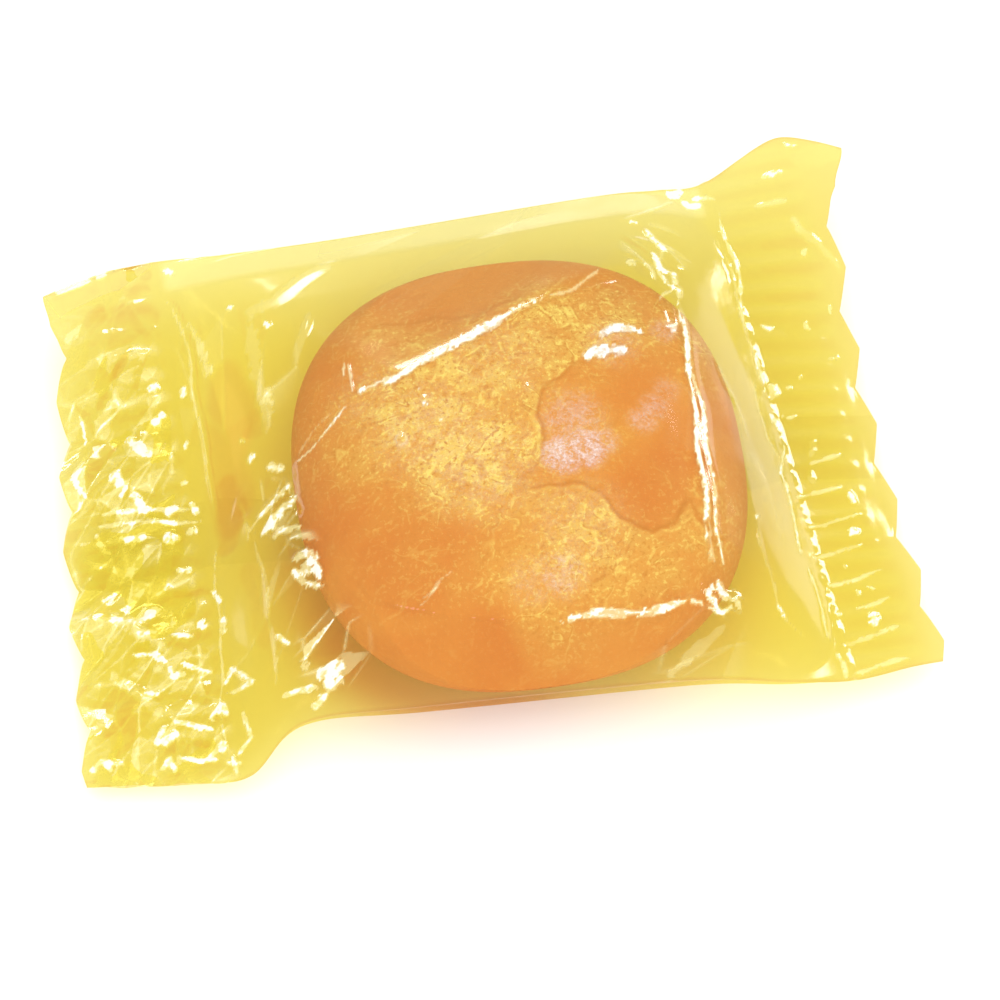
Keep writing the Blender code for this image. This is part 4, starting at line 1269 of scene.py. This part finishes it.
def film_material(name, tint, gloss_share, sheen_share=0.0, creased=True, sparkling=False):
    """Make clear film of one tint, with its share of gloss and a milky layer of painted highlight
    and sheen.
    """
    film = Palette(name)
    tone = film.stored("tone")
    # deeper tint: partly doubled film, partly painted shade
    deep = (tone * -1.0).at_least(0.0).at_most(1.0)
    plain_film = film.node("ShaderNodeBsdfTransparent", None, {"Color": tint})
    deeper_and_shaded_film = film.node("ShaderNodeBsdfTransparent", None, {"Color": DEEP_AND_SHADE_TINT})
    see_through = film.mix_shaders(deep, plain_film, deeper_and_shaded_film)

    gloss_sockets = {"Color": (1.0, 1.0, 1.0, 1.0), "Roughness": 0.12}
    if creased:
        place = film.place()
        gloss_sockets["Normal"] = film.bump(0.35, 0.0001, film.noise(place, RIPPLES, 1.0, 0.5))
    gloss = film.node("ShaderNodeBsdfGlossy", {"distribution": "GGX"}, gloss_sockets)
    slant = film.node("ShaderNodeLayerWeight", None, {"Blend": 0.5}, output=1)
    mirror = (slant ** GRAZING_POWER * GRAZING_GLOSS + HEAD_ON_GLOSS) * gloss_share
    clear = film.mix_shaders(mirror, see_through, gloss)
    if not creased:
        return film.finish(clear)

    # painted highlights: the milky layer is white where the tone is high, partly the whitening of a
    # sharp fold, mostly painted highlight
    fray = film.noise(place, FRAY, 3.0, 0.6)
    frayed = (fray.eased(0.36, 0.62) * 0.5 - 0.30) * tone.eased(0.55, 0.95)
    pale = (tone * (frayed + 1.0)).at_least(0.0).at_most(1.0)
    milk_and_highlight = film.mix_colours(pale.eased(0.70, 1.0), MILKY_YELLOW_AND_SHEEN, PAINTED_HIGHLIGHT_WHITE)
    milky_highlight_share = pale ** 1.5 * 0.8 + sheen_share
    if sparkling:
        # painted sparkle: a pinkish pale haze where the film clings to the candy
        sparkle, specks = film.stored("sparkle"), film.noise(place, SPECKS, 1.0, 0.5)
        glitter = fray.eased(0.36, 0.64) * 0.45 + specks.eased(0.46, 0.64) * 0.40 + 0.10
        milky_highlight_share = milky_highlight_share + sparkle * glitter
        milk_and_highlight = film.mix_colours((sparkle * 3.0).at_most(1.0), milk_and_highlight, PAINTED_PINK_SPARKLE)
    milky_highlight = film.node("ShaderNodeBsdfPrincipled", None, {"Base Color": milk_and_highlight, "Roughness": 0.5})
    return film.finish(film.mix_shaders(milky_highlight_share.at_most(1.0), clear, milky_highlight))


# %% Film for each piece
upper_material = film_material("upper_film_yellow", FILM_TINT, 1.0, sparkling=True)
end_material = film_material("end_film_yellow", FILM_TINT, 1.0)
# painted sheen: the folded strip is painted paler
folded_material = film_material("folded_film_yellow", FILM_TINT, 1.0, sheen_share=0.25)
under_material = film_material("under_film_yellow", FILM_TINT, 0.12, creased=False)
lap_material = film_material("lapped_film_pale", LAP_TINT, 0.3, creased=False)
films = (upper_material, end_material, end_material, folded_material, under_material, lap_material)
for sheet, material in zip(FILM_PIECES, films):
    sheet.data.materials.append(material)
print("The upper film's material has", len(upper_material.node_tree.nodes), "nodes")


# %% [markdown]
# ## Boiled sugar
#
# Butterscotch is a cloudy amber: light goes in a little way and comes out warmer. Subsurface
# scattering could work that out, but under several layers of film it takes long and changes little,
# so the warmth is in the colours. Where the film clings to the sugar it looks wet, golden and
# grainy, and where it doesn't the sugar is a plain soft orange. The golden colour is partly the
# glitter of that wet, grainy surface, painted in as gleam.
#
# Painting that by hand would work too, but thin layers of colour can be changed one at a time.
# The gold comes first and follows the stored clouds and patches; its palest part is a painted
# sheen. Over it go wrinkles, painted as light on one side and shade on the other: the difference
# between one noise and the same noise a step aside. Then come curls along the contour lines of a
# smooth noise, each a brown line beside a pale one as painted shade and light, then pale and brown
# grains: the pale grains are painted glints, the brown ones are specks of the sugar.

# %% The candy's material
PLAIN_SUGAR = (0.79, 0.350, 0.160, 1.0)
DEEP_SUGAR = (0.73, 0.252, 0.100, 1.0)
GOLDEN_SUGAR_AND_GLEAM = (0.82, 0.55, 0.31, 1.0)
PALE_GOLD_SHEEN = (0.92, 0.70, 0.46, 1.0)
BROWN_GRAIN_AND_SHADE = (0.62, 0.24, 0.07, 1.0)
PALE_GRAIN_AND_GLINT = (1.0, 0.88, 0.62, 1.0)
CLOUDS, SCALLOPS, MOTTLE, GRAINS = 130.0, 420.0, 800.0, 4200.0    # cells to a metre
WRINKLES, CURLS = 700.0, 340.0
# the step aside sets the side that the painted light of the wrinkles comes from
WRINKLE_LIGHT_STEP = (0.00010, -0.00013, 0.0)


def sugar_material():
    """Make cloudy orange boiled sugar with golden grainy patches."""
    sugar = Palette("boiled_sugar")
    place = sugar.place()
    aside = sugar.node("ShaderNodeVectorMath", {"operation": "ADD"}, {0: place, 1: WRINKLE_LIGHT_STEP})

    def noise(scale, detail, distortion=0.0, at=place):
        return sugar.noise(at, scale, detail, 0.62, distortion)

    def line(source, middle, width):
        """Give a line where a value passes its middle."""
        return (1.0 - (source - middle).size() / width).at_least(0.0)

    cloud, scallop = noise(CLOUDS, 2.0, 0.6), noise(SCALLOPS, 2.0)
    mottle, grain = noise(MOTTLE, 3.0), noise(GRAINS, 2.0)
    wrinkle_light_and_shade = noise(WRINKLES, 3.0, 0.8) - noise(WRINKLES, 3.0, 0.8, aside)
    flow = noise(CURLS, 1.5, 0.9)

    depth = sugar.stored("cling") + (scallop - 0.5) * 1.4
    crisp = sugar.stored("crisp")
    edged, blurred = depth.eased(-0.12, 0.15), (depth + (cloud - 0.5) * 9.0).eased(-3.0, 1.5)
    inside = edged * crisp + blurred * (1.0 - crisp)
    rich = sugar.stored("gold") * (inside * 0.66 + 0.34)
    golden = rich * (mottle.eased(0.38, 0.62) * 0.45 + 0.55)
    richest = rich.eased(0.60, 1.0) * mottle.eased(0.42, 0.60) * 0.7
    darkening = cloud.eased(0.62, 0.40) * 0.5
    # the sugar is darker in random clouds and in the stored deep patches, which all lie towards the
    # candy's front
    darker_share = (darkening + sugar.stored("deep") * (1.0 - inside * 0.6)).at_most(1.0)
    streaky = rich * mottle.eased(0.40, 0.58)

    colour = sugar.mix_colours(darker_share, PLAIN_SUGAR, DEEP_SUGAR)
    layers = [
        # how much of a colour goes over what is there
        # partly painted gleam: the golden colour of the clinging patches
        (golden, GOLDEN_SUGAR_AND_GLEAM),
        # painted sheen on the richest gold
        (richest, PALE_GOLD_SHEEN),
        # painted light and shade: each wrinkle is pale on one side and brown on the other
        (wrinkle_light_and_shade.eased(0.04, 0.15) * (rich * 0.65 + 0.06), PALE_GRAIN_AND_GLINT),
        ((wrinkle_light_and_shade * -1.0).eased(0.04, 0.16) * (rich * 0.60 + 0.08), BROWN_GRAIN_AND_SHADE),
        # painted shade and light: each curl is a brown line beside a pale one
        (line(flow, 0.470, 0.020) * (streaky * 0.8 + 0.02), BROWN_GRAIN_AND_SHADE),
        (line(flow, 0.500, 0.016) * streaky * 0.9, PALE_GRAIN_AND_GLINT),
        # painted glints: the pale grains; the brown grains after them are specks of the sugar
        ((golden * 0.9 + 0.04) * grain.eased(0.57, 0.66), PALE_GRAIN_AND_GLINT),
        ((golden * 0.8 + 0.06) * grain.eased(0.43, 0.34), BROWN_GRAIN_AND_SHADE),
        (line(depth, -0.12, 0.22) * crisp * 0.8, BROWN_GRAIN_AND_SHADE),
        (line(depth, 0.2, 0.2) * crisp * cloud.eased(0.40, 0.60) * 0.4, PALE_GRAIN_AND_GLINT),
    ]
    for share, layer in layers:
        colour = sugar.mix_colours(share, colour, layer)

    height = grain * 0.2 + mottle * 0.8 + scallop * 0.3 + cloud
    return sugar.finish(sugar.node("ShaderNodeBsdfPrincipled", None, {
        "Base Color": colour, "Roughness": 0.48, "Normal": sugar.bump(0.5, 0.00028, height),
        "IOR": 1.4, "Specular IOR Level": 0.25}))


boiled_sugar = sugar_material()
candy.data.materials.append(boiled_sugar)
print("The sugar's material has", len(boiled_sugar.node_tree.nodes), "nodes")

# %% [markdown]
# ## Say what each piece stands for
#
# Nothing here moves, so every piece rides on the one body. All of them together stand for the
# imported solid, which is hidden and stays behind as the collision shape.

# %% Pieces and the node they replace
for piece in (*FILM_PIECES, candy):
    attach(piece, "root")
    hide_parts(BAG)
print(len(FILM_PIECES) + 1, "pieces stand for", BAG)

# %% [markdown]
# ## Floor, light and camera
#
# A plain pale floor stands in for the white page. The light is soft: a large softbox above, a
# fill from the front and a white world. Film also needs small bright lamps, or its creases would
# have nothing to mirror. So the two soft lamps only light surfaces, and the two small strips only
# show in reflections. The camera looks down from the front left, as in the photo.

# %% The floor
FLOOR_SIZE, FLOOR_DROP = 3.0, 0.0002
bpy.ops.object.select_all(action="DESELECT")
bpy.ops.mesh.primitive_plane_add(size=FLOOR_SIZE, location=(0.0, 0.0, -FLOOR_DROP))
floor = bpy.context.object
floor.name = "floor"
paper = Palette("pale_floor")
floor.data.materials.append(paper.finish(paper.node("ShaderNodeBsdfPrincipled", None, {
    "Base Color": (0.98, 0.98, 0.98, 1.0), "Roughness": 0.9, "Specular IOR Level": 0.0})))
print("The floor is", FLOOR_SIZE, "m across")

# %% The lights
WORLD_LIGHT = 0.40
SOFT_LIGHTS = ("key_softbox", "front_fill")
LAMPS = [
    # name, direction from the candy, distance, width and height in metres, power in watts
    ("key_softbox", (0.17, 0.20, 0.96), 0.60, (1.20, 1.20), 6.0),
    ("front_fill", (-0.20, -0.80, 0.56), 0.60, (0.60, 0.60), 2.2),
    ("back_strip", (-0.05, 0.80, 0.60), 0.50, (0.12, 0.10), 0.46),
    ("right_strip", (0.78, 0.43, 0.45), 0.50, (0.11, 0.24), 0.9),
]
world = bpy.data.worlds.new("studio")
world.use_nodes = True
background = world.node_tree.nodes["Background"]
background.inputs["Color"].default_value = (1.0, 1.0, 1.0, 1.0)
background.inputs["Strength"].default_value = WORLD_LIGHT
bpy.context.scene.world = world

target = Vector((CANDY_CENTRE[0] * MM, CANDY_CENTRE[1] * MM, CANDY_MIDDLE * MM))
for name, direction, distance, (width, height), power in LAMPS:
    place = target + Vector(direction).normalized() * distance
    bpy.ops.object.light_add(type="AREA", location=place)
    lamp = bpy.context.object
    lamp.name = name
    lamp.data.shape = "RECTANGLE"
    lamp.data.size, lamp.data.size_y = width, height
    lamp.data.energy = power
    lamp.visible_camera = False
    lamp.visible_glossy = name not in SOFT_LIGHTS
    lamp.visible_diffuse = name in SOFT_LIGHTS
    lamp.rotation_euler = (target - place).to_track_quat("-Z", "Y").to_euler()
print(len(LAMPS), "lamps")

# %% The camera
CAMERA_AIM = Vector((1.279, -1.186, 0.0)) * MM
CAMERA_AZIMUTH, CAMERA_ELEVATION = np.radians(-9.0), np.radians(64.0)
CAMERA_DISTANCE = 0.300
SENSOR = 36.0
PIXELS_PER_MM = 18.0
PHOTO_WIDTH = 1000

away = Vector((np.sin(CAMERA_AZIMUTH) * np.cos(CAMERA_ELEVATION),
               -np.cos(CAMERA_AZIMUTH) * np.cos(CAMERA_ELEVATION), np.sin(CAMERA_ELEVATION)))
bpy.ops.object.camera_add(location=CAMERA_AIM + away * CAMERA_DISTANCE)
camera = bpy.context.object
camera.name = "camera"
camera.rotation_euler = (-away).to_track_quat("-Z", "Y").to_euler()
camera.data.sensor_width = SENSOR
camera.data.lens = SENSOR * PIXELS_PER_MM * (CAMERA_DISTANCE / MM) / PHOTO_WIDTH
camera.data.clip_start = 0.01
bpy.context.scene.camera = camera
bpy.context.scene.view_settings.view_transform = "Standard"
print("Lens", round(camera.data.lens, 1), "mm")
